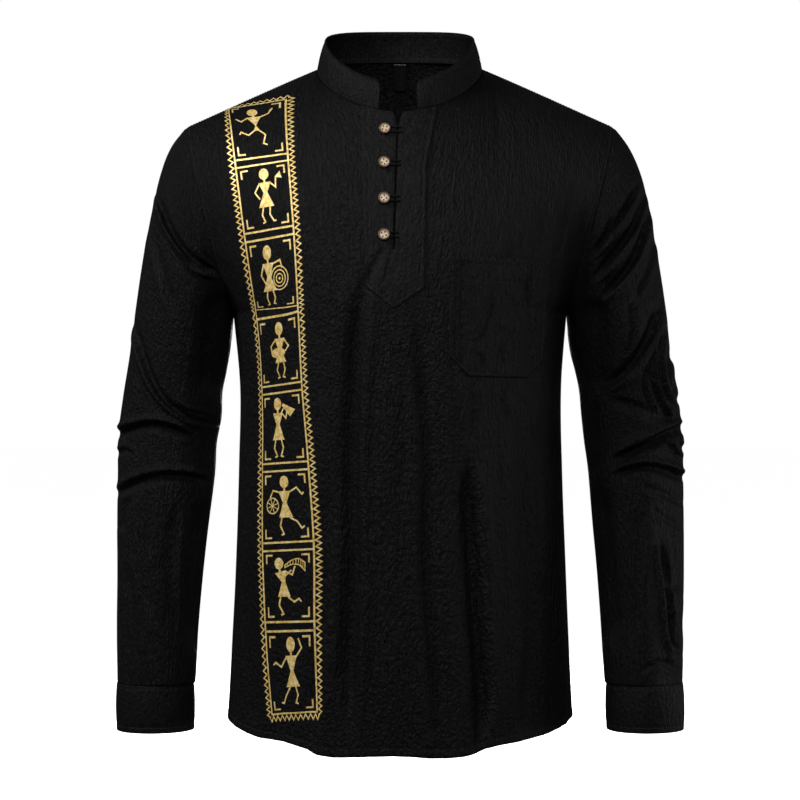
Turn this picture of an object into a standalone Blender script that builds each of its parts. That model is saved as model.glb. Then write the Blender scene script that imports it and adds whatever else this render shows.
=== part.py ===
# Mandarin collar shirt: the cut pieces of a filled-out pullover shirt, each one a wall of cloth.
# Metres, +Z up, the front towards -Y, the pocket side at +X.
# The origin is at the middle of the neck, level with the high points of the shoulders.
import math
from collections import namedtuple

import bmesh
import bpy
import numpy as np

CLOTH_WALL = 0.0015
COLLAR_WALL = 0.0020
CUFF_WALL = 0.0020
PATCH_WALL = 0.0010
SEAM_GAP = 0.0004
LAID_GAP = 0.0003

# Neck seam: an ellipse seen from above, and a curve that falls towards the front.
NECK_HALF_WIDTH = 0.088
NECK_BACK = 0.065
NECK_FRONT = 0.090
NECK_SIDE_LEVEL = -0.008
NECK_SLOPE = 0.4326
NECK_BEND = -1.92
SHOULDER_SEAM_ANGLE = 75.0

COLLAR_HEIGHT = 0.032
COLLAR_RIM_HALF_WIDTH = 0.079
COLLAR_RIM_BACK = 0.058
COLLAR_RIM_MIDDLE = -0.012
COLLAR_RIM_FRONT = -0.086
COLLAR_CORNER = 0.3

SHOULDER_TIP = np.array((0.228, 0.0, -0.068))
UNDERARM = np.array((0.1768, 0.0, -0.266))
ARMHOLE_REACH = 0.082
ARMHOLE_FOOT = np.array((0.0015, 0.0, 0.004))

SIDE_ROUNDNESS = 0.42
CHEST_ROUNDNESS = 1.2
CHEST_RISE = 0.076
HEM_DROP = {"front": -0.029, "back": -0.040}
HEM_FADE = 1.5

# Share of the half width at which the neck meets the shoulder seam.
NECK_COLUMN = math.degrees(math.asin(0.55)) / 90
SHOULDER_SEGMENTS = 9
FRONT_NECK_SEGMENTS = 8
BACK_NECK_SEGMENTS = 5
LOWER_ROWS = 10
UPPER_ROWS = 12

# Neck opening down the front: its line, and half its width at the neck and below.
SLIT_TOP_X = -0.002
SLIT_FOOT_X = -0.0066
SLIT_ROWS = 9
SLIT_HALF_MOUTH = 0.0050
SLIT_MOUTH_DEPTH = 0.022
SLIT_HALF_GAP = 0.0011

Section = namedtuple("Section", "side_z left right front back")
BODY_SECTIONS = (
    Section(side_z=-0.690, left=0.1826, right=0.1832, front=0.119, back=0.113),
    Section(side_z=-0.620, left=0.1785, right=0.1795, front=0.121, back=0.114),
    Section(side_z=-0.525, left=0.1738, right=0.1755, front=0.122, back=0.110),
    Section(side_z=-0.430, left=0.1708, right=0.1720, front=0.123, back=0.105),
    Section(side_z=-0.345, left=0.1695, right=0.1710, front=0.126, back=0.109),
    Section(side_z=-0.266, left=0.1768, right=0.1768, front=0.128, back=0.115),
)

# Where the upper rows aim, forward or back of the shoulder, the side of the neck and its middle.
Guide = namedtuple("Guide", "tip neck middle")
GUIDES = {
    "front": Guide(
        tip=(0.2265, -0.082, -0.080),
        neck=(0.112, -0.106, -0.046),
        middle=(0.0, -0.112, -0.1175),
    ),
    "back": Guide(
        tip=(0.2265, 0.080, -0.080),
        neck=(0.104, 0.097, -0.024),
        middle=(0.0, 0.092, -0.040),
    ),
}

# Soft folds of the body, each a trough from its upper to its lower end.
BodyFold = namedtuple("BodyFold", "top_x top_z foot_x foot_z depth width")
FRONT_FOLDS = (
    BodyFold(top_x=-0.034, top_z=-0.250, foot_x=-0.050, foot_z=-0.760, depth=0.0060, width=0.015),
    BodyFold(top_x=0.016, top_z=-0.280, foot_x=0.030, foot_z=-0.760, depth=0.0040, width=0.016),
    BodyFold(top_x=0.082, top_z=-0.450, foot_x=0.076, foot_z=-0.760, depth=0.0055, width=0.014),
    BodyFold(top_x=-0.088, top_z=-0.470, foot_x=-0.092, foot_z=-0.760, depth=0.0030, width=0.016),
    BodyFold(top_x=0.128, top_z=-0.420, foot_x=0.132, foot_z=-0.700, depth=0.0025, width=0.018),
)
BACK_FOLDS = (
    BodyFold(top_x=-0.060, top_z=-0.230, foot_x=-0.072, foot_z=-0.770, depth=0.0055, width=0.018),
    BodyFold(top_x=0.048, top_z=-0.260, foot_x=0.058, foot_z=-0.770, depth=0.0060, width=0.016),
    BodyFold(top_x=-0.004, top_z=-0.400, foot_x=-0.010, foot_z=-0.770, depth=0.0040, width=0.015),
    BodyFold(top_x=0.118, top_z=-0.380, foot_x=0.124, foot_z=-0.740, depth=0.0040, width=0.016),
)
FOLD_FADE = 0.12

# Sleeve sections: the outer and inner edge in the front view, the middle's y and half the depth.
Ring = namedtuple("Ring", "out_x out_z in_x in_z y depth")
LEFT_RINGS = (
    Ring(out_x=0.2280, out_z=-0.068, in_x=0.1768, in_z=-0.266, y=0.000, depth=0.061),
    Ring(out_x=0.2440, out_z=-0.090, in_x=0.1776, in_z=-0.275, y=0.000, depth=0.064),
    Ring(out_x=0.2545, out_z=-0.118, in_x=0.1784, in_z=-0.284, y=0.000, depth=0.066),
    Ring(out_x=0.2630, out_z=-0.155, in_x=0.1796, in_z=-0.295, y=0.001, depth=0.066),
    Ring(out_x=0.2735, out_z=-0.208, in_x=0.1818, in_z=-0.310, y=0.003, depth=0.065),
    Ring(out_x=0.2815, out_z=-0.262, in_x=0.1850, in_z=-0.328, y=0.004, depth=0.063),
    Ring(out_x=0.2880, out_z=-0.312, in_x=0.1895, in_z=-0.350, y=0.005, depth=0.060),
    Ring(out_x=0.2955, out_z=-0.358, in_x=0.1905, in_z=-0.376, y=0.005, depth=0.058),
    Ring(out_x=0.3000, out_z=-0.398, in_x=0.1955, in_z=-0.404, y=0.004, depth=0.056),
    Ring(out_x=0.3000, out_z=-0.436, in_x=0.1970, in_z=-0.436, y=0.000, depth=0.055),
    Ring(out_x=0.3000, out_z=-0.485, in_x=0.2025, in_z=-0.485, y=-0.006, depth=0.052),
    Ring(out_x=0.2990, out_z=-0.540, in_x=0.2080, in_z=-0.540, y=-0.014, depth=0.048),
    Ring(out_x=0.2980, out_z=-0.598, in_x=0.2125, in_z=-0.598, y=-0.022, depth=0.044),
    Ring(out_x=0.2970, out_z=-0.6545, in_x=0.2150, in_z=-0.6545, y=-0.030, depth=0.0405),
)
RIGHT_RINGS = (
    Ring(out_x=0.2280, out_z=-0.068, in_x=0.1768, in_z=-0.266, y=0.000, depth=0.061),
    Ring(out_x=0.2445, out_z=-0.091, in_x=0.1776, in_z=-0.275, y=0.000, depth=0.064),
    Ring(out_x=0.2565, out_z=-0.120, in_x=0.1784, in_z=-0.284, y=0.000, depth=0.066),
    Ring(out_x=0.2650, out_z=-0.157, in_x=0.1796, in_z=-0.295, y=0.001, depth=0.066),
    Ring(out_x=0.2745, out_z=-0.206, in_x=0.1822, in_z=-0.310, y=0.003, depth=0.065),
    Ring(out_x=0.2825, out_z=-0.258, in_x=0.1865, in_z=-0.326, y=0.004, depth=0.063),
    Ring(out_x=0.2885, out_z=-0.310, in_x=0.1912, in_z=-0.348, y=0.005, depth=0.060),
    Ring(out_x=0.2955, out_z=-0.354, in_x=0.1935, in_z=-0.374, y=0.005, depth=0.058),
    Ring(out_x=0.3010, out_z=-0.392, in_x=0.1965, in_z=-0.402, y=0.004, depth=0.056),
    Ring(out_x=0.3010, out_z=-0.434, in_x=0.2005, in_z=-0.434, y=0.000, depth=0.055),
    Ring(out_x=0.3010, out_z=-0.485, in_x=0.2040, in_z=-0.485, y=-0.006, depth=0.052),
    Ring(out_x=0.3000, out_z=-0.540, in_x=0.2083, in_z=-0.540, y=-0.014, depth=0.048),
    Ring(out_x=0.2985, out_z=-0.598, in_x=0.2120, in_z=-0.598, y=-0.022, depth=0.044),
    Ring(out_x=0.2970, out_z=-0.6545, in_x=0.2150, in_z=-0.6545, y=-0.030, depth=0.0405),
)
RING_SIDES = 2 * UPPER_ROWS
RINGS_PER_SECTION = 2
ARMHOLE_FADE = 0.25
SLEEVE_LENGTH = 0.60
SLEEVE_GIRTH = 0.36

# Sleeve folds. Angles run round from the outer edge at 0, over the front at 90 and the inner edge
# at 180, to the back at 270. Places along run from the armhole at 0 to the cuff at 1.
SleeveFold = namedtuple("SleeveFold", "from_angle from_along to_angle to_along depth width")
LEFT_SLEEVE_FOLDS = (
    SleeveFold(from_angle=-10, from_along=0.545, to_angle=160, to_along=0.575, depth=0.0060, width=0.010),
    SleeveFold(from_angle=0, from_along=0.665, to_angle=150, to_along=0.640, depth=0.0045, width=0.010),
    SleeveFold(from_angle=20, from_along=0.380, to_angle=150, to_along=0.530, depth=0.0040, width=0.011),
    SleeveFold(from_angle=60, from_along=0.120, to_angle=140, to_along=0.230, depth=0.0035, width=0.010),
    SleeveFold(from_angle=200, from_along=0.560, to_angle=330, to_along=0.600, depth=0.0045, width=0.012),
    SleeveFold(from_angle=220, from_along=0.200, to_angle=300, to_along=0.420, depth=0.0035, width=0.014),
)
RIGHT_SLEEVE_FOLDS = (
    SleeveFold(from_angle=-10, from_along=0.560, to_angle=140, to_along=0.610, depth=0.0055, width=0.010),
    SleeveFold(from_angle=10, from_along=0.640, to_angle=130, to_along=0.660, depth=0.0045, width=0.010),
    SleeveFold(from_angle=30, from_along=0.360, to_angle=140, to_along=0.500, depth=0.0040, width=0.011),
    SleeveFold(from_angle=50, from_along=0.130, to_angle=150, to_along=0.300, depth=0.0035, width=0.010),
    SleeveFold(from_angle=210, from_along=0.580, to_angle=330, to_along=0.560, depth=0.0045, width=0.012),
    SleeveFold(from_angle=230, from_along=0.180, to_angle=310, to_along=0.400, depth=0.0035, width=0.014),
)

CUFF_TOP = -0.6553
CUFF_FOOT = -0.7030
CUFF_HALF_WIDTH = 0.0405
CUFF_HALF_DEPTH = 0.0395
CUFF_MIDDLE = {"left": -0.2570, "right": 0.2570}
CUFF_Y = -0.031
CUFF_FLARE = 0.0010
CUFF_ROWS = 3

# Front band: the left and right edges, and the pointed foot.
PLACKET_LEFT_TOP = -0.0400
PLACKET_LEFT_FOOT = -0.0362
PLACKET_RIGHT_TOP = 0.0390
PLACKET_RIGHT_MIDDLE = 0.0272
PLACKET_RIGHT_FOOT = 0.0250
PLACKET_TOP = -0.0560
PLACKET_BEND = -0.1180
PLACKET_SPLIT = -0.2065
PLACKET_LEFT_CORNER = -0.2420
PLACKET_POINT = -0.2670
PLACKET_RIGHT_CORNER = -0.2450
PLACKET_SIDE_SEGMENTS = 4
PLACKET_BAND_ROWS = 11
PLACKET_TAIL_ROWS = 4

POCKET_LEFT_TOP = (0.0521, -0.2128)
POCKET_RIGHT_TOP = (0.1540, -0.2150)
POCKET_LEFT_FOOT = (0.0484, -0.3130)
POCKET_RIGHT_FOOT = (0.1470, -0.3165)
POCKET_FOOT_LEFT = (0.0690, -0.3345)
POCKET_FOOT_RIGHT = (0.1290, -0.3360)
POCKET_COLUMNS = 10
POCKET_ROWS = 8

BUTTON_RADIUS = 0.0061
BUTTON_THICKNESS = 0.0026
BUTTON_RIM = 0.0011
BUTTON_DISH = 0.0007
BUTTON_SIDES = 20
SHANK_RADIUS = 0.0014
BUTTON_X = (-0.0152, -0.0158, -0.0160, -0.0160)
BUTTON_Z = (-0.0828, -0.1179, -0.1548, -0.1917)
LOOP_RADIUS = 0.0009
LOOP_HALF_WIDTH = 0.0029
LOOP_END_HALF_WIDTH = 0.0023
LOOP_END_X = 0.0012

LABEL_WIDTH = 0.014
LABEL_LENGTH = 0.028
LABEL_WALL = 0.0008
LABEL_DROP = 0.0030

BLACK_CLOTH = (0.012, 0.012, 0.013, 1.0)
BUTTON_CREAM = (0.62, 0.45, 0.26, 1.0)
LABEL_SATIN = (0.02, 0.02, 0.022, 1.0)


def unit(vector):
    return vector / np.linalg.norm(vector)


def mix(first, second, share):
    return first + (second - first) * share


def ease(share):
    share = min(max(share, 0.0), 1.0)
    return share * share * (3 - 2 * share)


# A smooth curve through values at knots, read at one place.
def smooth_through(knots, values, place):
    last = len(knots) - 1
    index = min(max(int(np.searchsorted(knots, place)) - 1, 0), last - 1)
    values = [np.asarray(value, dtype=float) for value in values]
    step = knots[index + 1] - knots[index]
    before = max(index - 1, 0)
    after = min(index + 2, last)
    start = (values[index + 1] - values[before]) / (knots[index + 1] - knots[before])
    end = (values[after] - values[index]) / (knots[after] - knots[index])
    t = (place - knots[index]) / step
    return (
        (2 * t**3 - 3 * t**2 + 1) * values[index]
        + (t**3 - 2 * t**2 + t) * step * start
        + (3 * t**2 - 2 * t**3) * values[index + 1]
        + (t**3 - t**2) * step * end
    )


def table_row(table, share):
    knots = np.linspace(0.0, 1.0, len(table))
    return type(table[0])(*smooth_through(knots, [tuple(row) for row in table], share))


# The neck opening lies a little to one side of the middle, so the front of the neck seam does too.
def neck_sway(angle):
    return SLIT_TOP_X * max(abs(angle) - SHOULDER_SEAM_ANGLE, 0.0) / (180 - SHOULDER_SEAM_ANGLE)


def neck_point(angle):
    turn = math.radians(angle)
    reach = NECK_BACK if math.cos(turn) > 0 else NECK_FRONT
    y = reach * math.cos(turn)
    z = NECK_SIDE_LEVEL + NECK_SLOPE * y + NECK_BEND * y * y
    return np.array((NECK_HALF_WIDTH * math.sin(turn) + neck_sway(angle), y, z))


def rim_point(angle):
    turn = math.radians(angle)
    far = COLLAR_RIM_BACK if math.cos(turn) > 0 else COLLAR_RIM_FRONT
    y = COLLAR_RIM_MIDDLE + (far - COLLAR_RIM_MIDDLE) * abs(math.cos(turn))
    z = neck_point(angle)[2] + COLLAR_HEIGHT
    return np.array((COLLAR_RIM_HALF_WIDTH * math.sin(turn) + neck_sway(angle), y, z))


def neck_inward(angle):
    point = neck_point(angle)
    return unit(np.array((-point[0], -point[1], -0.5 * math.hypot(point[0], point[1]))))


# Along the neck seam's upper side, square to the seam and to its wall.
def neck_upward(angle):
    ahead = unit(neck_point(angle + 1) - neck_point(angle - 1))
    upward = unit(np.cross(neck_inward(angle), ahead))
    return upward if upward[2] > 0 else -upward


# The neck angle of a panel's column, from the middle of the back at 0 to the slit at 180.
def neck_angle(face, column):
    share = abs(column) / NECK_COLUMN
    angle = 180 - share * (180 - SHOULDER_SEAM_ANGLE) if face == "front" else share * SHOULDER_SEAM_ANGLE
    return math.copysign(angle, column)


def slit_x(z):
    top = neck_point(180)[2]
    share = min(max((top - z) / (top - PLACKET_SPLIT), 0.0), 1.0)
    return mix(SLIT_TOP_X, SLIT_FOOT_X, share)


def top_edge(face, column):
    side = math.copysign(1.0, column)
    if abs(column) < NECK_COLUMN:
        return neck_point(neck_angle(face, column))
    share = (abs(column) - NECK_COLUMN) / (1 - NECK_COLUMN)
    return mix(neck_point(SHOULDER_SEAM_ANGLE), SHOULDER_TIP, share) * np.array((side, 1, 1))


def fold_depth(folds, x, z):
    depth = 0.0
    for fold in folds:
        share = (z - fold.top_z) / (fold.foot_z - fold.top_z)
        middle = mix(fold.top_x, fold.foot_x, share)
        start = ease((fold.top_z - z) / FOLD_FADE)
        end = ease((z - fold.foot_z) / FOLD_FADE) if fold.foot_z > BODY_SECTIONS[0].side_z else 1.0
        depth += fold.depth * start * end * math.exp(-(((x - middle) / fold.width) ** 2))
    return depth


# A point of the body below the underarm, for a row from the hem at 0 to the underarm at 1.
def lower_point(face, column, row):
    sway = math.sin(math.radians(90 * column))
    level = table_row(BODY_SECTIONS, row)
    facing = -1 if face == "front" else 1
    half = level.left if column < 0 else level.right
    depth = level.front if face == "front" else level.back
    rounding = max(1 - sway * sway, 0.0)
    z = level.side_z + HEM_DROP[face] * (1 - row) ** HEM_FADE * math.sqrt(rounding)
    middle = slit_x(z) if face == "front" else 0.0
    x = middle * (1 - abs(sway)) + half * sway
    y = facing * depth * rounding**SIDE_ROUNDNESS
    folds = FRONT_FOLDS if face == "front" else BACK_FOLDS
    outward = unit(np.array((x / half**2, y / depth**2, 0.0)))
    return np.array((x, y, z)) - outward * fold_depth(folds, x, z)


# A point above the underarm: four rows of control points, from the underarm to the top edge.
def upper_point(face, column, rise):
    side = math.copysign(1.0, column)
    facing = -1 if face == "front" else 1
    sway = abs(math.sin(math.radians(90 * column)))
    rounding = max(1 - sway * sway, 0.0)
    first = lower_point(face, column, 1.0)
    edge = UNDERARM + ARMHOLE_FOOT + np.array((0, facing * ARMHOLE_REACH, 0))
    middle = lower_point(face, 0.0, 1.0) + np.array((0, 0, CHEST_RISE))
    second = np.array(
        (
            middle[0] * (1 - sway) + side * edge[0] * sway,
            mix(edge[1], middle[1], rounding**CHEST_ROUNDNESS),
            mix(edge[2], middle[2], math.sqrt(rounding)),
        )
    )
    guide = GUIDES[face]
    mirrored = np.array(guide.neck) * np.array((-1, 1, 1))
    knots = (-NECK_COLUMN, 0.0, NECK_COLUMN, 1.0)
    third = smooth_through(knots, (mirrored, guide.middle, guide.neck, guide.tip), abs(column))
    third = third * np.array((side, 1, 1))
    if face == "front":
        third[0] += SLIT_TOP_X * max(1 - abs(column) / NECK_COLUMN, 0.0)
    last = top_edge(face, column)
    fall = 1 - rise
    lower_half = fall**3 * first + 3 * rise * fall**2 * second
    return lower_half + 3 * rise**2 * fall * third + rise**3 * last


# Rows run from 0 at the hem, over 1 at the underarm, to 2 at the shoulder and neck.
def panel_point(face, column, row):
    if row <= 1:
        return lower_point(face, column, row)
    return upper_point(face, column, row - 1)


def armhole_middle(side):
    return (SHOULDER_TIP + UNDERARM) / 2 * np.array((side, 1, 1))


def armhole_out(side):
    across = unit(SHOULDER_TIP - UNDERARM)
    return np.array((side * across[2], 0.0, -across[0]))


# Into which side a wall gets its thickness at a panel's edges, and how far it stands off the seam.
def panel_edge(face, column, row):
    facing = -1 if face == "front" else 1
    side = math.copysign(1.0, column)
    point = panel_point(face, column, row)
    inward = None
    shift = np.zeros(3)
    if abs(column) > 0.999:
        if row >= 1:
            inward = unit(armhole_middle(side) - point)
            shift = shift - armhole_out(side) * SEAM_GAP / 2
        if row <= 1:
            shift = shift + np.array((0, facing * SEAM_GAP / 2, 0))
        if row < 1:
            inward = np.array((-side, 0.0, 0.0))
    if row > 1.999:
        if abs(column) >= NECK_COLUMN - 1e-6:
            along = unit(SHOULDER_TIP - neck_point(SHOULDER_SEAM_ANGLE))
            inward = unit(np.array((-side * -along[2], 0.0, -along[0])))
            shift = shift + np.array((0, facing * SEAM_GAP / 2, 0))
        if abs(column) <= NECK_COLUMN + 1e-6:
            inward = neck_inward(neck_angle(face, column))
            shift = shift - neck_upward(neck_angle(face, column)) * SEAM_GAP / 2
    return point, inward, shift


def panel_columns(neck_segments):
    outer = np.linspace(1.0, NECK_COLUMN, SHOULDER_SEGMENTS + 1)
    inner = np.linspace(NECK_COLUMN, 0.0, neck_segments + 1)[1:]
    half = list(outer) + list(inner)
    return [-value for value in half] + half[-2::-1]


# A sheet of quads whose corner points come from a function of the column and row numbers.
def sheet(columns, rows, place, wrapped=False, left_out=()):
    bm = bmesh.new()
    inward_layer = bm.verts.layers.float_vector.new("inward")
    corners = {}
    count = columns if wrapped else columns + 1
    for row in range(rows + 1):
        for column in range(count):
            point, inward = place(column, row)
            vert = bm.verts.new(point)
            vert[inward_layer] = (0, 0, 0) if inward is None else inward
            corners[column, row] = vert
    for row in range(rows):
        for column in range(columns):
            if (column, row) in left_out:
                continue
            after = (column + 1) % count
            lower = (corners[column, row], corners[after, row])
            upper = (corners[after, row + 1], corners[column, row + 1])
            bm.faces.new(lower + upper)
    loose = [vert for vert in bm.verts if not vert.link_faces]
    bmesh.ops.delete(bm, geom=loose, context="VERTS")
    bm.normal_update()
    return bm, inward_layer


# Gives a sheet its thickness: a copy moved inwards, turned over and joined along every open edge.
def thicken(bm, inward_layer, wall):
    open_edges = [edge for edge in bm.edges if edge.is_boundary]
    starts = []
    for edge in open_edges:
        loop = edge.link_loops[0]
        starts.append((loop.vert, loop.link_loop_next.vert))
    everything = bm.verts[:] + bm.edges[:] + bm.faces[:]
    copy = bmesh.ops.duplicate(bm, geom=everything)
    inner = copy["vert_map"]
    for vert in [element for element in copy["geom"] if isinstance(element, bmesh.types.BMVert)]:
        inward = vert[inward_layer]
        vert.co += (inward if inward.length > 0.5 else -vert.normal) * wall
    new_faces = [element for element in copy["geom"] if isinstance(element, bmesh.types.BMFace)]
    bmesh.ops.reverse_faces(bm, faces=new_faces)
    for first, second in starts:
        bm.faces.new((second, first, inner[first], inner[second]))
    bm.normal_update()


def finish_material(name, color, roughness):
    material = bpy.data.materials.new(name)
    material.use_nodes = True
    shader = material.node_tree.nodes["Principled BSDF"]
    shader.inputs["Base Color"].default_value = color
    shader.inputs["Roughness"].default_value = roughness
    return material


def place_object(name, data, color, roughness):
    data.materials.append(finish_material(name, color, roughness))
    obj = bpy.data.objects.new(name, data)
    bpy.context.scene.collection.objects.link(obj)
    return obj


def mesh_object(name, bm, color=BLACK_CLOTH, roughness=0.9):
    mesh = bpy.data.meshes.new(name)
    bm.to_mesh(mesh)
    bm.free()
    mesh.shade_smooth()
    mesh.set_sharp_from_angle(angle=math.radians(50))
    return place_object(name, mesh, color, roughness)


def row_value(number):
    if number <= LOWER_ROWS:
        return number / LOWER_ROWS
    return 1 + (number - LOWER_ROWS) / UPPER_ROWS


# Half the width of the slit at a height: narrow, and spread near the neck.
def slit_half_gap(z):
    top = neck_point(180)[2]
    spread = max(1 - (top - z) / SLIT_MOUTH_DEPTH, 0.0)
    return mix(SLIT_HALF_GAP, SLIT_HALF_MOUTH, spread**2)


def make_front():
    columns = panel_columns(FRONT_NECK_SEGMENTS)
    middle = len(columns) // 2
    rows = LOWER_ROWS + UPPER_ROWS

    def place(number, row):
        point, inward, shift = panel_edge("front", columns[number], row_value(row))
        return point + shift, inward

    bm, layer = sheet(len(columns) - 1, rows, place)
    marks = bm.verts.layers.int.new("on_slit")
    layer = bm.verts.layers.float_vector["inward"]
    bm.verts.ensure_lookup_table()
    first_row = rows - SLIT_ROWS
    width = len(columns)
    line = [bm.verts[row * width + middle] for row in range(first_row, rows + 1)]
    for vert in line[1:]:
        vert[marks] = 1
    edges = [bm.edges.get(pair) for pair in zip(line[:-1], line[1:])]
    bmesh.ops.split_edges(bm, edges=edges)
    for vert in [vert for vert in bm.verts if vert[marks]]:
        faces_middle = sum(face.calc_center_median().x for face in vert.link_faces) / len(vert.link_faces)
        side = -1 if faces_middle < vert.co.x else 1
        vert.co.x += side * slit_half_gap(vert.co.z)
    bm.normal_update()
    thicken(bm, layer, CLOTH_WALL)
    mesh_object("front", bm)


def make_back():
    columns = panel_columns(BACK_NECK_SEGMENTS)[::-1]

    def place(number, row):
        point, inward, shift = panel_edge("back", columns[number], row_value(row))
        return point + shift, inward

    bm, layer = sheet(len(columns) - 1, LOWER_ROWS + UPPER_ROWS, place)
    thicken(bm, layer, CLOTH_WALL)
    mesh_object("back", bm)


def armhole_point(side, angle):
    angle = angle % 360
    if angle <= 180:
        return panel_point("front", side, 2 - angle / 180)
    return panel_point("back", side, 1 + (angle - 180) / 180)


def ring_point(ring, side, angle):
    turn = math.radians(angle)
    outer = np.array((side * ring.out_x, ring.y, ring.out_z))
    inner = np.array((side * ring.in_x, ring.y, ring.in_z))
    middle = (outer + inner) / 2
    return middle + (outer - inner) / 2 * math.cos(turn) + np.array((0, -ring.depth * math.sin(turn), 0))


def sleeve_fold_depth(folds, angle, along):
    depth = 0.0
    for fold in folds:
        for turn in (-360, 0):
            start = np.array((fold.from_angle / 360 * SLEEVE_GIRTH, fold.from_along * SLEEVE_LENGTH))
            end = np.array((fold.to_angle / 360 * SLEEVE_GIRTH, fold.to_along * SLEEVE_LENGTH))
            here = np.array(((angle + turn) / 360 * SLEEVE_GIRTH, along * SLEEVE_LENGTH))
            run = end - start
            share = float(np.dot(here - start, run) / np.dot(run, run))
            nearest = start + run * min(max(share, 0.0), 1.0)
            away = np.linalg.norm(here - nearest)
            depth += fold.depth * math.exp(-((away / fold.width) ** 2))
    return depth


def sleeve_point(table, folds, side, angle, along):
    ring = table_row(table, along)
    point = ring_point(ring, side, angle)
    fade = 1 - ease(along / ARMHOLE_FADE)
    point = point + (armhole_point(side, angle) - ring_point(table[0], side, angle)) * fade
    middle = (ring_point(ring, side, 0) + ring_point(ring, side, 180)) / 2
    outward = unit(point - middle)
    return point - outward * sleeve_fold_depth(folds, angle, along)


def make_sleeve(name, table, folds, side):
    rings = (len(table) - 1) * RINGS_PER_SECTION

    def place(number, row):
        angle = 360 * number / RING_SIDES
        point = sleeve_point(table, folds, side, angle, row / rings)
        inward = None
        if row == 0:
            inward = unit(armhole_middle(side) - point)
            point = point + armhole_out(side) * SEAM_GAP / 2
        return point, inward

    bm, layer = sheet(RING_SIDES, rings, place, wrapped=True)
    if side < 0:
        bmesh.ops.reverse_faces(bm, faces=bm.faces[:])
        bm.normal_update()
    thicken(bm, layer, CLOTH_WALL)
    mesh_object(name, bm)


def make_cuff(name, side_name):
    middle_x = CUFF_MIDDLE[side_name]

    def place(number, row):
        turn = math.radians(360 * number / RING_SIDES)
        share = row / CUFF_ROWS
        flare = CUFF_FLARE * math.sin(math.pi * share)
        x = middle_x + (CUFF_HALF_WIDTH + flare) * math.cos(turn)
        y = CUFF_Y - (CUFF_HALF_DEPTH + flare) * math.sin(turn)
        return np.array((x, y, mix(CUFF_TOP, CUFF_FOOT, share))), None

    bm, layer = sheet(RING_SIDES, CUFF_ROWS, place, wrapped=True)
    thicken(bm, layer, CUFF_WALL)
    mesh_object(name, bm)


def collar_angles():
    step = (180 - SHOULDER_SEAM_ANGLE) / FRONT_NECK_SEGMENTS
    end = 180 - step
    front = list(np.linspace(end, SHOULDER_SEAM_ANGLE, FRONT_NECK_SEGMENTS))
    back = list(np.linspace(SHOULDER_SEAM_ANGLE, 0, BACK_NECK_SEGMENTS + 1))[1:]
    half = front + back
    return half + [-value for value in half[-2::-1]]


def collar_point(angle, share):
    end = 180 - (180 - SHOULDER_SEAM_ANGLE) / FRONT_NECK_SEGMENTS
    rounding = min(max((share - (1 - COLLAR_CORNER)) / COLLAR_CORNER, 0.0), 1.0)
    cut = COLLAR_CORNER * COLLAR_HEIGHT * (1 - math.sqrt(1 - rounding**2)) / NECK_FRONT
    angle = angle * (1 - math.degrees(cut) / end)
    base = neck_point(angle)
    rim = rim_point(angle)
    swell = math.sin(math.pi * share) * COLLAR_WALL * 0.5
    outward = unit(np.array((base[0], base[1], 0.0)))
    return mix(base, rim, share) + outward * swell


def make_collar():
    angles = collar_angles()
    shares = (0.0, 0.25, 0.5, 0.72, 0.86, 0.95, 1.0)

    def place(number, row):
        angle = angles[number]
        point = collar_point(angle, shares[row])
        inward = None
        if row == 0:
            inward = neck_inward(angle)
            point = point + neck_upward(angle) * SEAM_GAP / 2
        return point, inward

    bm, layer = sheet(len(angles) - 1, len(shares) - 1, place)
    middle = bm.faces[:][0].calc_center_median()
    if bm.faces[:][0].normal.dot(middle) < 0:
        bmesh.ops.reverse_faces(bm, faces=bm.faces[:])
        bm.normal_update()
    thicken(bm, layer, COLLAR_WALL)
    mesh_object("collar", bm)


# The front panel's column and row under a place of the front view.
def front_place(x, z):
    column = x / UNDERARM[0] * 0.6
    row = 1 + (z - UNDERARM[2]) / (neck_point(180)[2] - UNDERARM[2])
    step = 1e-4
    for _ in range(20):
        row = min(row, 1.9998)
        here = panel_point("front", column, row)
        by_column = (panel_point("front", column + step, row) - here) / step
        by_row = (panel_point("front", column, row - step) - here) / -step
        system = np.array(((by_column[0], by_row[0]), (by_column[2], by_row[2])))
        move = np.linalg.solve(system, np.array((x - here[0], z - here[2])))
        column += float(move[0])
        row += float(move[1])
    return column, min(row, 1.9998)


def front_normal(column, row):
    step = 1e-3
    row = min(row, 2 - step)
    across = panel_point("front", column + step, row) - panel_point("front", column - step, row)
    up = panel_point("front", column, row + step) - panel_point("front", column, row - step)
    return unit(np.cross(across, up))


# A point laid on the front panel, moved out by a lift.
def on_front(x, z, lift):
    column, row = front_place(x, z)
    return panel_point("front", column, row) + front_normal(column, row) * lift


def placket_left(z):
    share = (PLACKET_TOP - z) / (PLACKET_TOP - PLACKET_SPLIT)
    return mix(PLACKET_LEFT_TOP, PLACKET_LEFT_FOOT, min(max(share, 0.0), 1.0))


def placket_right(z):
    knots = (-PLACKET_TOP, -PLACKET_BEND, -PLACKET_RIGHT_CORNER)
    values = (PLACKET_RIGHT_TOP, PLACKET_RIGHT_MIDDLE, PLACKET_RIGHT_FOOT)
    return float(np.interp(-z, knots, values))


def neckline_z(x):
    turn = math.asin(min(abs(x) / NECK_HALF_WIDTH, 1.0))
    return neck_point(180 - math.degrees(turn))[2]


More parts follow.
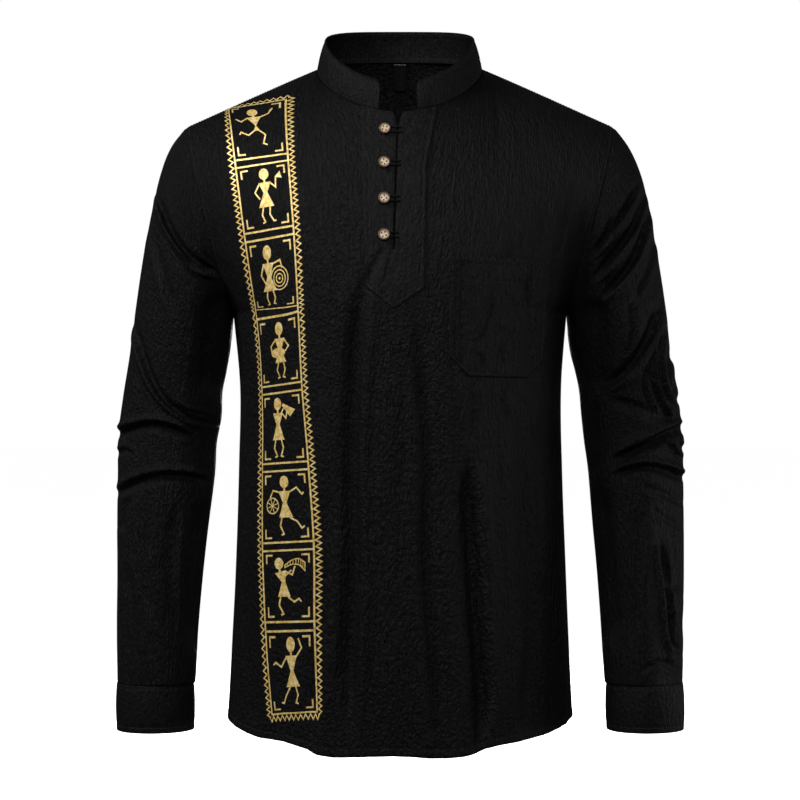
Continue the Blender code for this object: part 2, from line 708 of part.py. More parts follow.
# Columns 0 to 4 lie left of the slit and 5 to 9 right of it.
def placket_spot(column, row):
    segments = PLACKET_SIDE_SEGMENTS
    right_side = column > segments
    share = (column - segments - 1) / segments if right_side else column / segments
    if row >= PLACKET_TAIL_ROWS:
        rise = (row - PLACKET_TAIL_ROWS) / PLACKET_BAND_ROWS
        z_low = PLACKET_SPLIT
        z_guess = mix(z_low, PLACKET_TOP, rise)
    else:
        rise = row / PLACKET_TAIL_ROWS
        z_guess = mix(PLACKET_POINT, PLACKET_SPLIT, rise)
    mouth = slit_x(z_guess)
    half = 0.0 if row < PLACKET_TAIL_ROWS else slit_half_gap(z_guess + neck_point(180)[2] - PLACKET_TOP)
    if right_side:
        x = mix(mouth + half, placket_right(z_guess), share)
        corner = PLACKET_RIGHT_CORNER
        foot = mix(PLACKET_POINT, corner, share)
    else:
        x = mix(placket_left(z_guess), mouth - half, share)
        corner = PLACKET_LEFT_CORNER
        foot = mix(corner, PLACKET_POINT, share)
    if row < PLACKET_TAIL_ROWS:
        return x, mix(foot, PLACKET_SPLIT, rise)
    top = neckline_z(x) - SEAM_GAP
    return x, mix(PLACKET_SPLIT, top, rise)


def laid_patch(name, columns, rows, spot, left_out=()):
    lift = LAID_GAP + PATCH_WALL

    def place(number, row):
        x, z = spot(number, row)
        column, up = front_place(x, z)
        normal = front_normal(column, up)
        return panel_point("front", column, up) + normal * lift, -normal

    bm, layer = sheet(columns, rows, place, left_out=left_out)
    thicken(bm, layer, PATCH_WALL)
    mesh_object(name, bm)


def make_placket_over():
    columns = 2 * PLACKET_SIDE_SEGMENTS
    rows = PLACKET_TAIL_ROWS + PLACKET_BAND_ROWS
    left_out = set()
    for row in range(PLACKET_TAIL_ROWS, rows):
        for column in range(PLACKET_SIDE_SEGMENTS):
            left_out.add((column, row))

    def spot(number, row):
        if row < PLACKET_TAIL_ROWS:
            shifted = number if number < PLACKET_SIDE_SEGMENTS else number + 1
            return placket_spot(shifted, row)
        if number >= PLACKET_SIDE_SEGMENTS:
            return placket_spot(number + 1, row)
        return placket_spot(number, row)

    laid_patch("placket_over", columns, rows, spot, left_out)


def make_placket_under():
    def spot(number, row):
        x, z = placket_spot(number, row + PLACKET_TAIL_ROWS)
        if row == 0:
            z += 2 * LAID_GAP
        return x, z

    laid_patch("placket_under", PLACKET_SIDE_SEGMENTS, PLACKET_BAND_ROWS, spot)


def make_pocket():
    def spot(number, row):
        across = number / POCKET_COLUMNS
        left = np.array(POCKET_LEFT_FOOT)
        right = np.array(POCKET_RIGHT_FOOT)
        top = mix(np.array(POCKET_LEFT_TOP), np.array(POCKET_RIGHT_TOP), across)
        chain = (left, np.array(POCKET_FOOT_LEFT), np.array(POCKET_FOOT_RIGHT), right)
        knots = (0.0, 0.2, 0.8, 1.0)
        foot_x = float(np.interp(across, knots, [point[0] for point in chain]))
        foot_z = float(np.interp(across, knots, [point[1] for point in chain]))
        foot = np.array((foot_x, foot_z))
        return mix(foot, top, row / POCKET_ROWS)

    laid_patch("pocket", POCKET_COLUMNS, POCKET_ROWS, spot)


# The axes of a place on the front: across to the right, up, and out of the cloth.
def front_axes(x, z):
    column, row = front_place(x, z)
    out = front_normal(column, row)
    across = unit(np.cross(np.array((0.0, 0.0, 1.0)), -out))
    up = np.cross(out, across) * -1
    return panel_point("front", column, row), across, up, out


def make_button(number):
    point, across, up, out = front_axes(BUTTON_X[number], BUTTON_Z[number])
    seat = LAID_GAP + PATCH_WALL + LAID_GAP
    back = seat + 2 * LOOP_RADIUS + LAID_GAP
    front = back + BUTTON_THICKNESS
    profile = (
        (SHANK_RADIUS, seat),
        (SHANK_RADIUS, back),
        (BUTTON_RADIUS * 0.72, back),
        (BUTTON_RADIUS, mix(back, front, 0.45)),
        (BUTTON_RADIUS * 0.97, mix(back, front, 0.80)),
        (BUTTON_RADIUS - BUTTON_RIM * 0.6, front),
        (BUTTON_RADIUS - BUTTON_RIM * 1.5, front - BUTTON_DISH * 0.6),
        (BUTTON_RADIUS * 0.45, front - BUTTON_DISH),
    )
    bm = bmesh.new()
    line = [bm.verts.new((radius, 0.0, height)) for radius, height in profile]
    edges = [bm.edges.new(pair) for pair in zip(line[:-1], line[1:])]
    turn = {"cent": (0, 0, 0), "axis": (0, 0, 1), "angle": 2 * math.pi, "steps": BUTTON_SIDES}
    bmesh.ops.spin(bm, geom=line + edges, use_merge=True, **turn)
    bmesh.ops.remove_doubles(bm, verts=bm.verts, dist=1e-6)
    open_edges = [edge for edge in bm.edges if edge.is_boundary]
    bmesh.ops.holes_fill(bm, edges=open_edges, sides=0)
    for vert in bm.verts:
        vert.co = point + across * vert.co.x + up * vert.co.y + out * vert.co.z
    bmesh.ops.recalc_face_normals(bm, faces=bm.faces)
    if bm.calc_volume(signed=True) < 0:
        bmesh.ops.reverse_faces(bm, faces=bm.faces[:])
    mesh_object(f"button_{number + 1}", bm, BUTTON_CREAM, 0.45)


# A cloth loop: out of the slit's edge, round the button's thread shank and back.
def make_loop(number):
    x = BUTTON_X[number]
    z = BUTTON_Z[number]
    lift = LAID_GAP + PATCH_WALL + LAID_GAP + LOOP_RADIUS
    end_x = slit_x(z) + SLIT_HALF_GAP + LOOP_END_X
    spots = [(end_x, z + LOOP_END_HALF_WIDTH)]
    for degrees in range(90, 271, 30):
        turn = math.radians(degrees)
        spots.append((x + LOOP_HALF_WIDTH * math.cos(turn), z + LOOP_HALF_WIDTH * math.sin(turn)))
    spots.append((end_x, z - LOOP_END_HALF_WIDTH))
    curve = bpy.data.curves.new(f"loop_{number + 1}", "CURVE")
    curve.dimensions = "3D"
    curve.bevel_depth = LOOP_RADIUS
    curve.bevel_resolution = 1
    curve.use_fill_caps = True
    spline = curve.splines.new("POLY")
    spline.points.add(len(spots) - 1)
    for knot, (spot_x, spot_z) in zip(spline.points, spots):
        knot.co = (*on_front(spot_x, spot_z, lift), 1.0)
    place_object(f"loop_{number + 1}", curve, BLACK_CLOTH, 0.9)


def make_label():
    columns, rows = 2, 4

    def place(number, row):
        angle = math.degrees(mix(-0.5, 0.5, number / columns) * LABEL_WIDTH / NECK_HALF_WIDTH)
        column = angle / SHOULDER_SEAM_ANGLE * NECK_COLUMN
        z = neck_point(0)[2] - LABEL_DROP - LABEL_LENGTH * row / rows
        low, high = 1.0, 2.0
        for _ in range(30):
            guess = (low + high) / 2
            if panel_point("back", column, guess)[2] > z:
                high = guess
            else:
                low = guess
        point = panel_point("back", column, low)
        return point - np.array((0, CLOTH_WALL * 2.0 + LAID_GAP, 0)), np.array((0.0, -1.0, 0.0))

    bm, layer = sheet(columns, rows, place)
    if bm.faces[:][0].normal.y < 0:
        bmesh.ops.reverse_faces(bm, faces=bm.faces[:])
        bm.normal_update()
    thicken(bm, layer, LABEL_WALL)
    mesh_object("neck_label", bm, LABEL_SATIN, 0.35)


def main():
    for obj in list(bpy.data.objects):
        bpy.data.objects.remove(obj, do_unlink=True)
    make_front()
    make_back()
    make_sleeve("sleeve_left", LEFT_RINGS, LEFT_SLEEVE_FOLDS, -1)
    make_sleeve("sleeve_right", RIGHT_RINGS, RIGHT_SLEEVE_FOLDS, 1)
    make_cuff("cuff_left", "left")
    make_cuff("cuff_right", "right")
    make_collar()
    make_placket_over()
    make_placket_under()
    make_pocket()
    for number in range(len(BUTTON_Z)):
        make_button(number)
        make_loop(number)
    make_label()


main()
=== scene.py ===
# Mandarin collar shirt: the looks of the filled-out pullover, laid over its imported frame.
# Metres, +Z up, the front towards -Y. Fold places are written in pixels of the 800 x 800 front view.
import math

import bmesh
import bpy
import numpy as np
from mathutils import Matrix, Vector


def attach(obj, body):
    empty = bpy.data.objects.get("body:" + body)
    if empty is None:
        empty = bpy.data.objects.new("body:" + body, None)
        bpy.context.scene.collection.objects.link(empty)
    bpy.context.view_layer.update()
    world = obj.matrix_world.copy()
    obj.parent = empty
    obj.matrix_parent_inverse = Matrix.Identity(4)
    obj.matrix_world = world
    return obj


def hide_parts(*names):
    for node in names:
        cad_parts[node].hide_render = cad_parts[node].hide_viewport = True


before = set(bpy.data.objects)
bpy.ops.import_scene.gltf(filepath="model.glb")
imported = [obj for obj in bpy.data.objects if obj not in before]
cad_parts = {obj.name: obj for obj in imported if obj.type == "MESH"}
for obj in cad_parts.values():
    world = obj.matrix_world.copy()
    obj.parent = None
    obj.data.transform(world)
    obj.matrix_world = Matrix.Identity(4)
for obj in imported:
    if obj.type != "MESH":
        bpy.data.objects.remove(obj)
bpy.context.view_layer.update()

print("frame loaded")

# Camera, light and floor
view = {"distance": 2.3, "height": -0.358, "focal": 2159.6, "middle": 400}
studio = {"world": 0.045, "backdrop": 1.0, "lampSize": 0.8, "target": (0, -0.10, -0.30), "floorLevel": -1.02}
lamps = {
    "leftLamp": (37, (-1.85, -0.95, 1.15)),
    "frontLamp": (26, (0.25, -2.20, 0.75)),
    "rightLamp": (11, (2.35, 0.28, -0.64)),
    "backLamp": (90, (0.10, 3.20, 0.25)),
}

cameraData = bpy.data.cameras.new("frontCamera")
cameraData.sensor_width = 36
cameraData.lens = view["focal"] * 36 / 800
cameraObject = bpy.data.objects.new("frontCamera", cameraData)
cameraObject.location = (0, -view["distance"], view["height"])
cameraObject.rotation_euler = (math.radians(90), 0, 0)
bpy.context.scene.collection.objects.link(cameraObject)
bpy.context.scene.camera = cameraObject
bpy.context.scene.view_settings.view_transform = "Standard"

world = bpy.data.worlds.new("studioWhite")
bpy.context.scene.world = world
world.use_nodes = True
lightSky = world.node_tree.nodes["Background"]
lightSky.inputs["Color"].default_value = (1, 1, 1, 1)
lightSky.inputs["Strength"].default_value = studio["world"]
# the paper behind shows white, while it lights the cloth softly
paper = world.node_tree.nodes.new("ShaderNodeBackground")
paper.inputs["Color"].default_value = (1, 1, 1, 1)
paper.inputs["Strength"].default_value = studio["backdrop"]
choice = world.node_tree.nodes.new("ShaderNodeMixShader")
rays = world.node_tree.nodes.new("ShaderNodeLightPath")
world.node_tree.links.new(rays.outputs["Is Camera Ray"], choice.inputs[0])
world.node_tree.links.new(lightSky.outputs[0], choice.inputs[1])
world.node_tree.links.new(paper.outputs[0], choice.inputs[2])
world.node_tree.links.new(choice.outputs[0], world.node_tree.nodes["World Output"].inputs["Surface"])


def addLamp(name, power, place):
    data = bpy.data.lights.new(name, "AREA")
    data.energy = power
    data.size = studio["lampSize"]
    lamp = bpy.data.objects.new(name, data)
    lamp.location = place
    lamp.rotation_euler = (Vector(studio["target"]) - Vector(place)).to_track_quat("-Z", "Y").to_euler()
    lamp.visible_camera = False
    bpy.context.scene.collection.objects.link(lamp)


for name, (power, place) in lamps.items():
    addLamp(name, power, place)


def closeMesh(name, bm):
    mesh = bpy.data.meshes.new(name)
    bm.to_mesh(mesh)
    bm.free()
    return mesh


# Shader maths: wraps a socket, so that sums on values add Math nodes.
class Value:
    def __init__(self, maker, socket):
        self.maker = maker
        self.socket = socket

    def sum(self, operation, other, swapped=False):
        first, second = (other, self) if swapped else (self, other)
        return self.maker.node("ShaderNodeMath", {"operation": operation}, {0: first, 1: second})

    def __add__(self, other):
        return self.sum("ADD", other)

    def __radd__(self, other):
        return self.sum("ADD", other, True)

    def __sub__(self, other):
        return self.sum("SUBTRACT", other)

    def __rsub__(self, other):
        return self.sum("SUBTRACT", other, True)

    def __mul__(self, other):
        return self.sum("MULTIPLY", other)

    def __rmul__(self, other):
        return self.sum("MULTIPLY", other, True)


# One material and its nodes. Settings are set first, then the sockets' values and links.
class Finish:
    def __init__(self, name):
        self.material = bpy.data.materials.new(name)
        self.material.use_nodes = True
        self.tree = self.material.node_tree
        self.shader = self.tree.nodes["Principled BSDF"]

    def node(self, kind, settings=None, inputs=None, output=0):
        made = self.tree.nodes.new(kind)
        for key, value in (settings or {}).items():
            if key == "stops":
                ramp = made.color_ramp
                while len(ramp.elements) < len(value):
                    ramp.elements.new(0.5)
                for element, (place, color) in zip(ramp.elements, value):
                    element.position = place
                    element.color = color
            else:
                setattr(made, key, value)
        for key, value in (inputs or {}).items():
            self.feed(made.inputs[key], value)
        return Value(self, made.outputs[output])

    def feed(self, socket, value):
        if isinstance(value, Value):
            self.tree.links.new(value.socket, socket)
        else:
            socket.default_value = value

    def set(self, inputs):
        for key, value in inputs.items():
            self.feed(self.shader.inputs[key], value)

    # A pattern place: the piece's own cloth map in metres, times a scale across and along.
    def clothPlace(self, across, along):
        place = self.node("ShaderNodeUVMap", {"uv_map": "cloth"})
        return self.node("ShaderNodeMapping", {}, {"Vector": place, "Scale": (across, along, 1)})

    def noise(self, place, scale=1.0, detail=2.0, rough=0.5, twist=0.0):
        return self.node(
            "ShaderNodeTexNoise",
            {"noise_dimensions": "3D"},
            {"Vector": place, "Scale": scale, "Detail": detail, "Roughness": rough, "Distortion": twist},
        )

    def threadWave(self, direction, scale):
        return self.node(
            "ShaderNodeTexWave",
            {"wave_type": "BANDS", "bands_direction": direction, "wave_profile": "SIN"},
            {
                "Vector": self.clothPlace(1, 1),
                "Scale": scale,
                "Distortion": 1.2,
                "Detail": 1.0,
                "Detail Scale": 40,
            },
            1,
        )

    def ramp(self, factor, stops):
        return self.node("ShaderNodeValToRGB", {"stops": stops}, {"Fac": factor})

    def blend(self, factor, first, second):
        return self.node("ShaderNodeMix", {"data_type": "RGBA"}, {0: factor, 6: first, 7: second}, 2)

    def bump(self, height, distance, strength=1.0, normal=None):
        inputs = {"Height": height, "Distance": distance, "Strength": strength}
        if normal is not None:
            inputs["Normal"] = normal
        return self.node("ShaderNodeBump", {}, inputs)


def grey(level, tint=1.0):
    return (level, level, level * tint, 1)


clothLook = {"dark": 0.0022, "light": 0.0072, "specular": 0.115, "rough": 0.50, "relief": 0.0056}


def cottonFinish(name, crinkle=1.0, gain=1.0, weave=1.0):
    finish = Finish(name)
    streak = finish.noise(finish.clothPlace(360, 72), detail=3, rough=0.62, twist=0.7)
    patch = finish.noise(finish.clothPlace(120, 40), detail=2, twist=0.5)
    pucker = finish.noise(finish.clothPlace(380, 240), detail=2, rough=0.5, twist=0.4)
    slub = finish.noise(finish.clothPlace(900, 60), detail=1)
    warp = finish.threadWave("X", 260)
    weft = finish.threadWave("Y", 230)
    threads = warp * 0.5 + weft * 0.5
    tone = streak * 0.30 + slub * 0.30 + pucker * 0.25 + threads * 0.15
    dark = clothLook["dark"] * gain
    light = clothLook["light"] * gain
    color = finish.ramp(tone, [(0.37, grey(dark, 1.06)), (0.65, grey(light, 1.06))])
    fine = finish.bump(threads * 0.6 + slub * 0.4, 0.00022 * weave, 0.7)
    height = streak * 0.46 + patch * 0.20 + pucker * 0.34
    finish.set({
        "Base Color": color,
        "Roughness": clothLook["rough"] + 0.12 * (1 - streak),
        "Normal": finish.bump(height, clothLook["relief"] * crinkle, 1.0, fine),
        "Specular IOR Level": clothLook["specular"],
    })
    return finish.material


def foilFinish():
    finish = Finish("goldFoil")
    grain = finish.noise(finish.clothPlace(900, 900), detail=2)
    cloud = finish.noise(finish.clothPlace(230, 230), detail=3, rough=0.6)
    color = finish.ramp(
        grain * 0.35 + cloud * 0.65,
        [(0.38, (0.66, 0.38, 0.07, 1)), (0.50, (0.94, 0.66, 0.19, 1)), (0.62, (1.0, 0.92, 0.62, 1))],
    )
    finish.set({
        "Base Color": color,
        "Metallic": 0.35,
        "Roughness": 0.34 + 0.22 * grain,
        "Normal": finish.bump(grain, 0.0003, 0.8),
    })
    return finish.material


def shellFinish():
    finish = Finish("buttonShell")
    place = finish.node("ShaderNodeUVMap", {"uv_map": "cloth"})
    edge = finish.node("ShaderNodeSeparateXYZ", {}, {0: place})  # 0 at the button's middle, 1 at its rim
    grain = finish.node("ShaderNodeTexCoord", {}, {}, 3)
    cloud = finish.noise(grain, 700, detail=3, rough=0.6)
    burnt = finish.node(
        "ShaderNodeMapRange", {}, {"Value": edge + 0.22 * (cloud - 0.5), "From Min": 0.52, "From Max": 0.80}
    )
    cream = finish.ramp(cloud, [(0.3, (0.58, 0.42, 0.24, 1)), (0.7, (0.84, 0.70, 0.50, 1))])
    brown = finish.ramp(cloud, [(0.3, (0.035, 0.011, 0.004, 1)), (0.7, (0.15, 0.055, 0.020, 1))])
    finish.set({
        "Base Color": finish.blend(burnt, cream, brown),
        "Roughness": 0.34 + 0.2 * cloud,
        "Normal": finish.bump(cloud, 0.00012, 0.6),
        "Coat Weight": 0.25,
    })
    return finish.material


def satinFinish():
    finish = Finish("blackSatin")
    weave = finish.noise(finish.clothPlace(300, 2600), detail=1)
    finish.set({
        "Base Color": finish.ramp(weave, [(0.3, grey(0.0035)), (0.7, grey(0.009))]),
        "Roughness": 0.26 + 0.1 * weave,
        "Normal": finish.bump(weave, 0.0001, 0.6),
        "Specular IOR Level": 0.4,
    })
    return finish.material


def floorFinish():
    finish = Finish("paleFloor")
    place = finish.node("ShaderNodeTexCoord", {}, {}, 3)
    soft = finish.noise(place, 3.0)
    finish.set({
        "Base Color": finish.ramp(soft, [(0.3, grey(0.93)), (0.7, grey(0.95))]),
        "Roughness": 0.9,
        "Emission Color": (1, 1, 1, 1),
        "Emission Strength": 0.95,
    })
    return finish.material


cotton = cottonFinish("blackCotton", crinkle=1.2)
sleeveCotton = cottonFinish("blackCottonSleeve", crinkle=1.4)
smoothCotton = cottonFinish("blackCottonPressed", crinkle=0.75, gain=1.05)
threadCotton = cottonFinish("blackThread", crinkle=0.1, gain=8.5, weave=0.5)
foil = foilFinish()
shell = shellFinish()
satin = satinFinish()

bm = bmesh.new()
bmesh.ops.create_grid(bm, x_segments=8, y_segments=8, size=30)
bmesh.ops.translate(bm, verts=bm.verts, vec=(0, 0, studio["floorLevel"]))
floorMesh = closeMesh("floor", bm)
floorMesh.materials.append(floorFinish())
floor = bpy.data.objects.new("floor", floorMesh)
bpy.context.scene.collection.objects.link(floor)
floor.visible_diffuse = False  # white below the cloth would wash out its folds
floor.visible_glossy = False
print("studio and finishes ready")


# Forms of the cut pieces
neck = {"halfWidth": 0.088, "back": 0.065, "front": 0.090, "level": -0.008, "slope": 0.4326, "bend": -1.92}
neck.update(seam=75.0, column=math.degrees(math.asin(0.55)) / 90)
collar = {"height": 0.032, "rimHalfWidth": 0.079, "rimBack": 0.058, "rimMiddle": -0.012, "rimFront": -0.086}
collar.update(corner=0.3, wall=0.0020, end=180 - 105 / 8, cut=0.034)
slit = {"topX": -0.002, "footX": -0.0066, "foot": -0.2065, "halfMouth": 0.005, "mouthDepth": 0.022}
slit.update(halfGap=0.0009)
body = {
    "tip": np.array((0.228, 0.0, -0.068)),
    "underarm": np.array((0.1768, 0.0, -0.266)),
    "reach": 0.082,
    "foot": np.array((0.0015, 0.0, 0.004)),
    "sideRound": 0.42,
    "chestRound": 1.2,
    "chestRise": 0.076,
    "drop": {"front": -0.029, "back": -0.040},
    "wall": 0.0009,
}
# side level, left, right, front and back, from the hem up to the underarm
bodySections = np.array((
    (-0.690, 0.1826, 0.1832, 0.119, 0.113),
    (-0.620, 0.1785, 0.1795, 0.121, 0.114),
    (-0.525, 0.1738, 0.1755, 0.122, 0.110),
    (-0.430, 0.1708, 0.1720, 0.123, 0.105),
    (-0.345, 0.1695, 0.1710, 0.126, 0.109),
    (-0.266, 0.1768, 0.1768, 0.128, 0.115),
))
# what the upper rows aim at: by the shoulder tip, the side of the neck and its middle
guides = {
    "front": ((0.2265, -0.082, -0.080), (0.112, -0.106, -0.046), (0.0, -0.112, -0.1175)),
    "back": ((0.2265, 0.080, -0.080), (0.104, 0.097, -0.024), (0.0, 0.092, -0.040)),
}


def mixed(first, second, share):
    return first + (second - first) * share


def ease(share):
    share = np.clip(share, 0.0, 1.0)
    return share * share * (3 - 2 * share)


def units(vectors):
    return vectors / np.maximum(np.linalg.norm(vectors, axis=1, keepdims=True), 1e-12)


# The curve from one value to the next that leaves and arrives with the given slopes.
def eased(t, first, firstSlope, second, secondSlope):
    return (
        (2 * t**3 - 3 * t**2 + 1) * first
        + (t**3 - 2 * t**2 + t) * firstSlope
        + (3 * t**2 - 2 * t**3) * second
        + (t**3 - t**2) * secondSlope
    )


# How far along a run of points each of them lies.
def lengthAlong(points):
    return np.concatenate(((0,), np.cumsum(np.linalg.norm(np.diff(points, axis=0), axis=1))))


# A smooth curve through rows of values at knots, read at many places.
def smoothThrough(knots, values, places):
    knots = np.asarray(knots, dtype=float)
    values = np.asarray(values, dtype=float)
    last = len(knots) - 1
    index = np.clip(np.searchsorted(knots, places) - 1, 0, last - 1)
    step = (knots[index + 1] - knots[index])[:, None]
    before = np.maximum(index - 1, 0)
    after = np.minimum(index + 2, last)
    start = (values[index + 1] - values[before]) / (knots[index + 1] - knots[before])[:, None]
    end = (values[after] - values[index]) / (knots[after] - knots[index])[:, None]
    t = (places - knots[index])[:, None] / step
    return eased(t, values[index], step * start, values[index + 1], step * end)


def tableRow(table, share):
    return smoothThrough(np.linspace(0, 1, len(table)), table, share)


def neckSway(angle):
    return slit["topX"] * np.maximum(np.abs(angle) - neck["seam"], 0) / (180 - neck["seam"])


def neckPoint(angle):
    angle = np.atleast_1d(np.asarray(angle, dtype=float))
    turn = np.radians(angle)
    y = np.where(np.cos(turn) > 0, neck["back"], neck["front"]) * np.cos(turn)
    z = neck["level"] + neck["slope"] * y + neck["bend"] * y * y
    return np.stack((neck["halfWidth"] * np.sin(turn) + neckSway(angle), y, z), axis=1)


def rimPoint(angle):
    turn = np.radians(angle)
    far = np.where(np.cos(turn) > 0, collar["rimBack"], collar["rimFront"])
    y = collar["rimMiddle"] + (far - collar["rimMiddle"]) * np.abs(np.cos(turn))
    z = neckPoint(angle)[:, 2] + collar["height"]
    return np.stack((collar["rimHalfWidth"] * np.sin(turn) + neckSway(angle), y, z), axis=1)


neckFrontLevel = float(neckPoint(180)[0, 2])


def slitX(z):
    share = np.clip((neckFrontLevel - z) / (neckFrontLevel - slit["foot"]), 0, 1)
    return mixed(slit["topX"], slit["footX"], share)


def slitHalfGap(z):
    spread = np.maximum(1 - (neckFrontLevel - z) / slit["mouthDepth"], 0)
    return mixed(slit["halfGap"], slit["halfMouth"], spread**2)


def topEdge(face, column):
    side = np.sign(column + 1e-12)
    share = np.abs(column) / neck["column"]
    if face == "front":
        angle = 180 - share * (180 - neck["seam"])
    else:
        angle = share * neck["seam"]
    onNeck = neckPoint(np.clip(angle, 0, 180) * side)
    out = (np.abs(column) - neck["column"]) / (1 - neck["column"])
    onShoulder = mixed(neckPoint(neck["seam"])[0], body["tip"], out[:, None])
    onShoulder = onShoulder * np.stack((side, np.ones_like(side), np.ones_like(side)), axis=1)
    return np.where((np.abs(column) < neck["column"])[:, None], onNeck, onShoulder)


def lowerPoint(face, column, row):
    sway = np.sin(np.radians(90 * column))
    level = tableRow(bodySections, np.clip(row, 0, 1))
    facing = -1 if face == "front" else 1
    half = np.where(column < 0, level[:, 1], level[:, 2])
    depth = level[:, 3] if face == "front" else level[:, 4]
    rounding = np.maximum(1 - sway * sway, 0)
    z = level[:, 0] + body["drop"][face] * (1 - np.clip(row, 0, 1)) ** 1.5 * np.sqrt(rounding)
    middle = slitX(z) if face == "front" else 0.0
    x = middle * (1 - np.abs(sway)) + half * sway
    return np.stack((x, facing * depth * rounding ** body["sideRound"], z), axis=1)


def upperPoint(face, column, rise):
    side = np.sign(column + 1e-12)
    facing = -1 if face == "front" else 1
    sway = np.abs(np.sin(np.radians(90 * column)))
    rounding = np.maximum(1 - sway * sway, 0)
    ones = np.ones_like(column)
    first = lowerPoint(face, column, ones)
    edge = body["underarm"] + body["foot"] + np.array((0, facing * body["reach"], 0))
    middle = lowerPoint(face, np.zeros(1), np.ones(1))[0] + np.array((0, 0, body["chestRise"]))
    second = np.stack((
        middle[0] * (1 - sway) + side * edge[0] * sway,
        mixed(edge[1], middle[1], rounding ** body["chestRound"]),
        mixed(edge[2], middle[2], np.sqrt(rounding)),
    ), axis=1)
    tip, beside, centre = (np.array(point) for point in guides[face])
    knots = (-neck["column"], 0.0, neck["column"], 1.0)
    third = smoothThrough(knots, (beside * np.array((-1, 1, 1)), centre, beside, tip), np.abs(column))
    third = third * np.stack((side, ones, ones), axis=1)
    if face == "front":
        third[:, 0] += slit["topX"] * np.maximum(1 - np.abs(column) / neck["column"], 0)
    last = topEdge(face, column)
    rise = rise[:, None]
    fall = 1 - rise
    return fall**3 * first + 3 * rise * fall**2 * second + 3 * rise**2 * fall * third + rise**3 * last


# Rows run from 0 at the hem, over 1 at the underarm, to 2 at the shoulder and neck.
def panelPoint(face, column, row):
    column = np.asarray(column, dtype=float)
    row = np.asarray(row, dtype=float)
    lower = lowerPoint(face, column, row)
    upper = upperPoint(face, column, np.clip(row - 1, 0, 1))
    return np.where((row <= 1)[:, None], lower, upper)


def panelNormal(face, column, row):
    step = 2e-3
    row = np.clip(row, step, 2 - step)
    across = panelPoint(face, column + step, row) - panelPoint(face, column - step, row)
    up = panelPoint(face, column, row + step) - panelPoint(face, column, row - step)
    normal = units(np.cross(across, up))
    return normal if face == "front" else -normal


# Folds and crinkles
def photoPlace(points, face):
    reach = view["distance"] + (points[:, 1] if face == "front" else -points[:, 1])
    scale = view["focal"] / reach
    return np.stack((
        view["middle"] + points[:, 0] * scale,
        view["middle"] - (points[:, 2] - view["height"]) * scale,
    ), axis=1)


# How a crease runs out at its ends, and the shape of its lip in half widths of the crease.
creaseShape = {"fade": 0.22, "atEnd": 0.08, "narrowed": 0.65, "lipAway": 1.3, "steep": 0.5, "gentle": 0.95}
creaseShape["span"] = 4.5  # how many half widths away it still counts


def creaseEnd(share):
    return ease(share / creaseShape["fade"] + creaseShape["atEnd"])


# Each crease: its run in pixels, depth in mm (a ridge below 0), half width in pixels, and a lip
# of cloth that stands up on the left hand of the run (above 0) or on its right hand (below 0).
def creaseDepth(places, creases):
    depth = np.zeros(len(places))
    for run, deep, width, lip in creases:
        knots = np.array(run, dtype=float)
        lengths = lengthAlong(knots)
        count = max(6, int(lengths[-1] / 9))
        line = smoothThrough(lengths / lengths[-1], knots, np.linspace(0, 1, count))
        low = line.min(axis=0) - creaseShape["span"] * width
        high = line.max(axis=0) + creaseShape["span"] * width
        near = np.all((places > low) & (places < high), axis=1)
        if not near.any():
            continue
        spots = places[near]
        best = np.full(len(spots), 1e9)
        signed = np.zeros(len(spots))
        share = np.zeros(len(spots))
        for index in range(count - 1):
            start, end = line[index], line[index + 1]
            step = end - start
            t = np.clip(((spots - start) @ step) / (step @ step), 0, 1)
            offset = spots - (start + t[:, None] * step)
            away = np.linalg.norm(offset, axis=1)
            closer = away < best
            best = np.where(closer, away, best)
            turn = step[0] * offset[:, 1] - step[1] * offset[:, 0]
            signed = np.where(closer, -np.sign(turn) * away, signed)
            share = np.where(closer, (index + t) / (count - 1), share)
        fade = creaseEnd(share) * creaseEnd(1 - share)
        thin = width * mixed(creaseShape["narrowed"], 1.0, fade)
        across = signed / thin
        shape = np.exp(-(across**2))
        if lip:
            # the lip is a pinched crest: steep towards the trough, softer on its far side
            past = (across - creaseShape["lipAway"] * np.sign(lip)) * np.sign(lip)
            reach = np.where(past < 0, creaseShape["steep"], creaseShape["gentle"])
            shape = shape - abs(lip) * np.exp(-((past / reach) ** 2))
        depth[near] += deep * 0.001 * fade * shape
    return depth


latticeSize = 97


def softNoise(u, v, seed):
    lattice = np.random.default_rng(seed).uniform(-1, 1, (latticeSize, latticeSize))
    firstU = np.floor(u).astype(int)
    firstV = np.floor(v).astype(int)
    shareU = ease(u - firstU)
    shareV = ease(v - firstV)
    left, right = firstU % latticeSize, (firstU + 1) % latticeSize
    low, high = firstV % latticeSize, (firstV + 1) % latticeSize
    below = mixed(lattice[left, low], lattice[right, low], shareU)
    above = mixed(lattice[left, high], lattice[right, high], shareU)
    return mixed(below, above, shareV)


# Long crinkles of the washed cloth that run down the piece: spacing across and along, in metres.
washed = {"broad": (0.0085, 0.070), "narrow": (0.0050, 0.036), "drift": 0.004, "broadShare": 0.6}


def crinkle(u, v, seed):
    u = u + washed["drift"] * softNoise(u / 0.05, v / 0.06, seed + 5)
    broad = softNoise(u / washed["broad"][0], v / washed["broad"][1], seed)
    narrow = softNoise(u / washed["narrow"][0], v / washed["narrow"][1], seed + 1)
    return mixed(narrow, broad, washed["broadShare"])


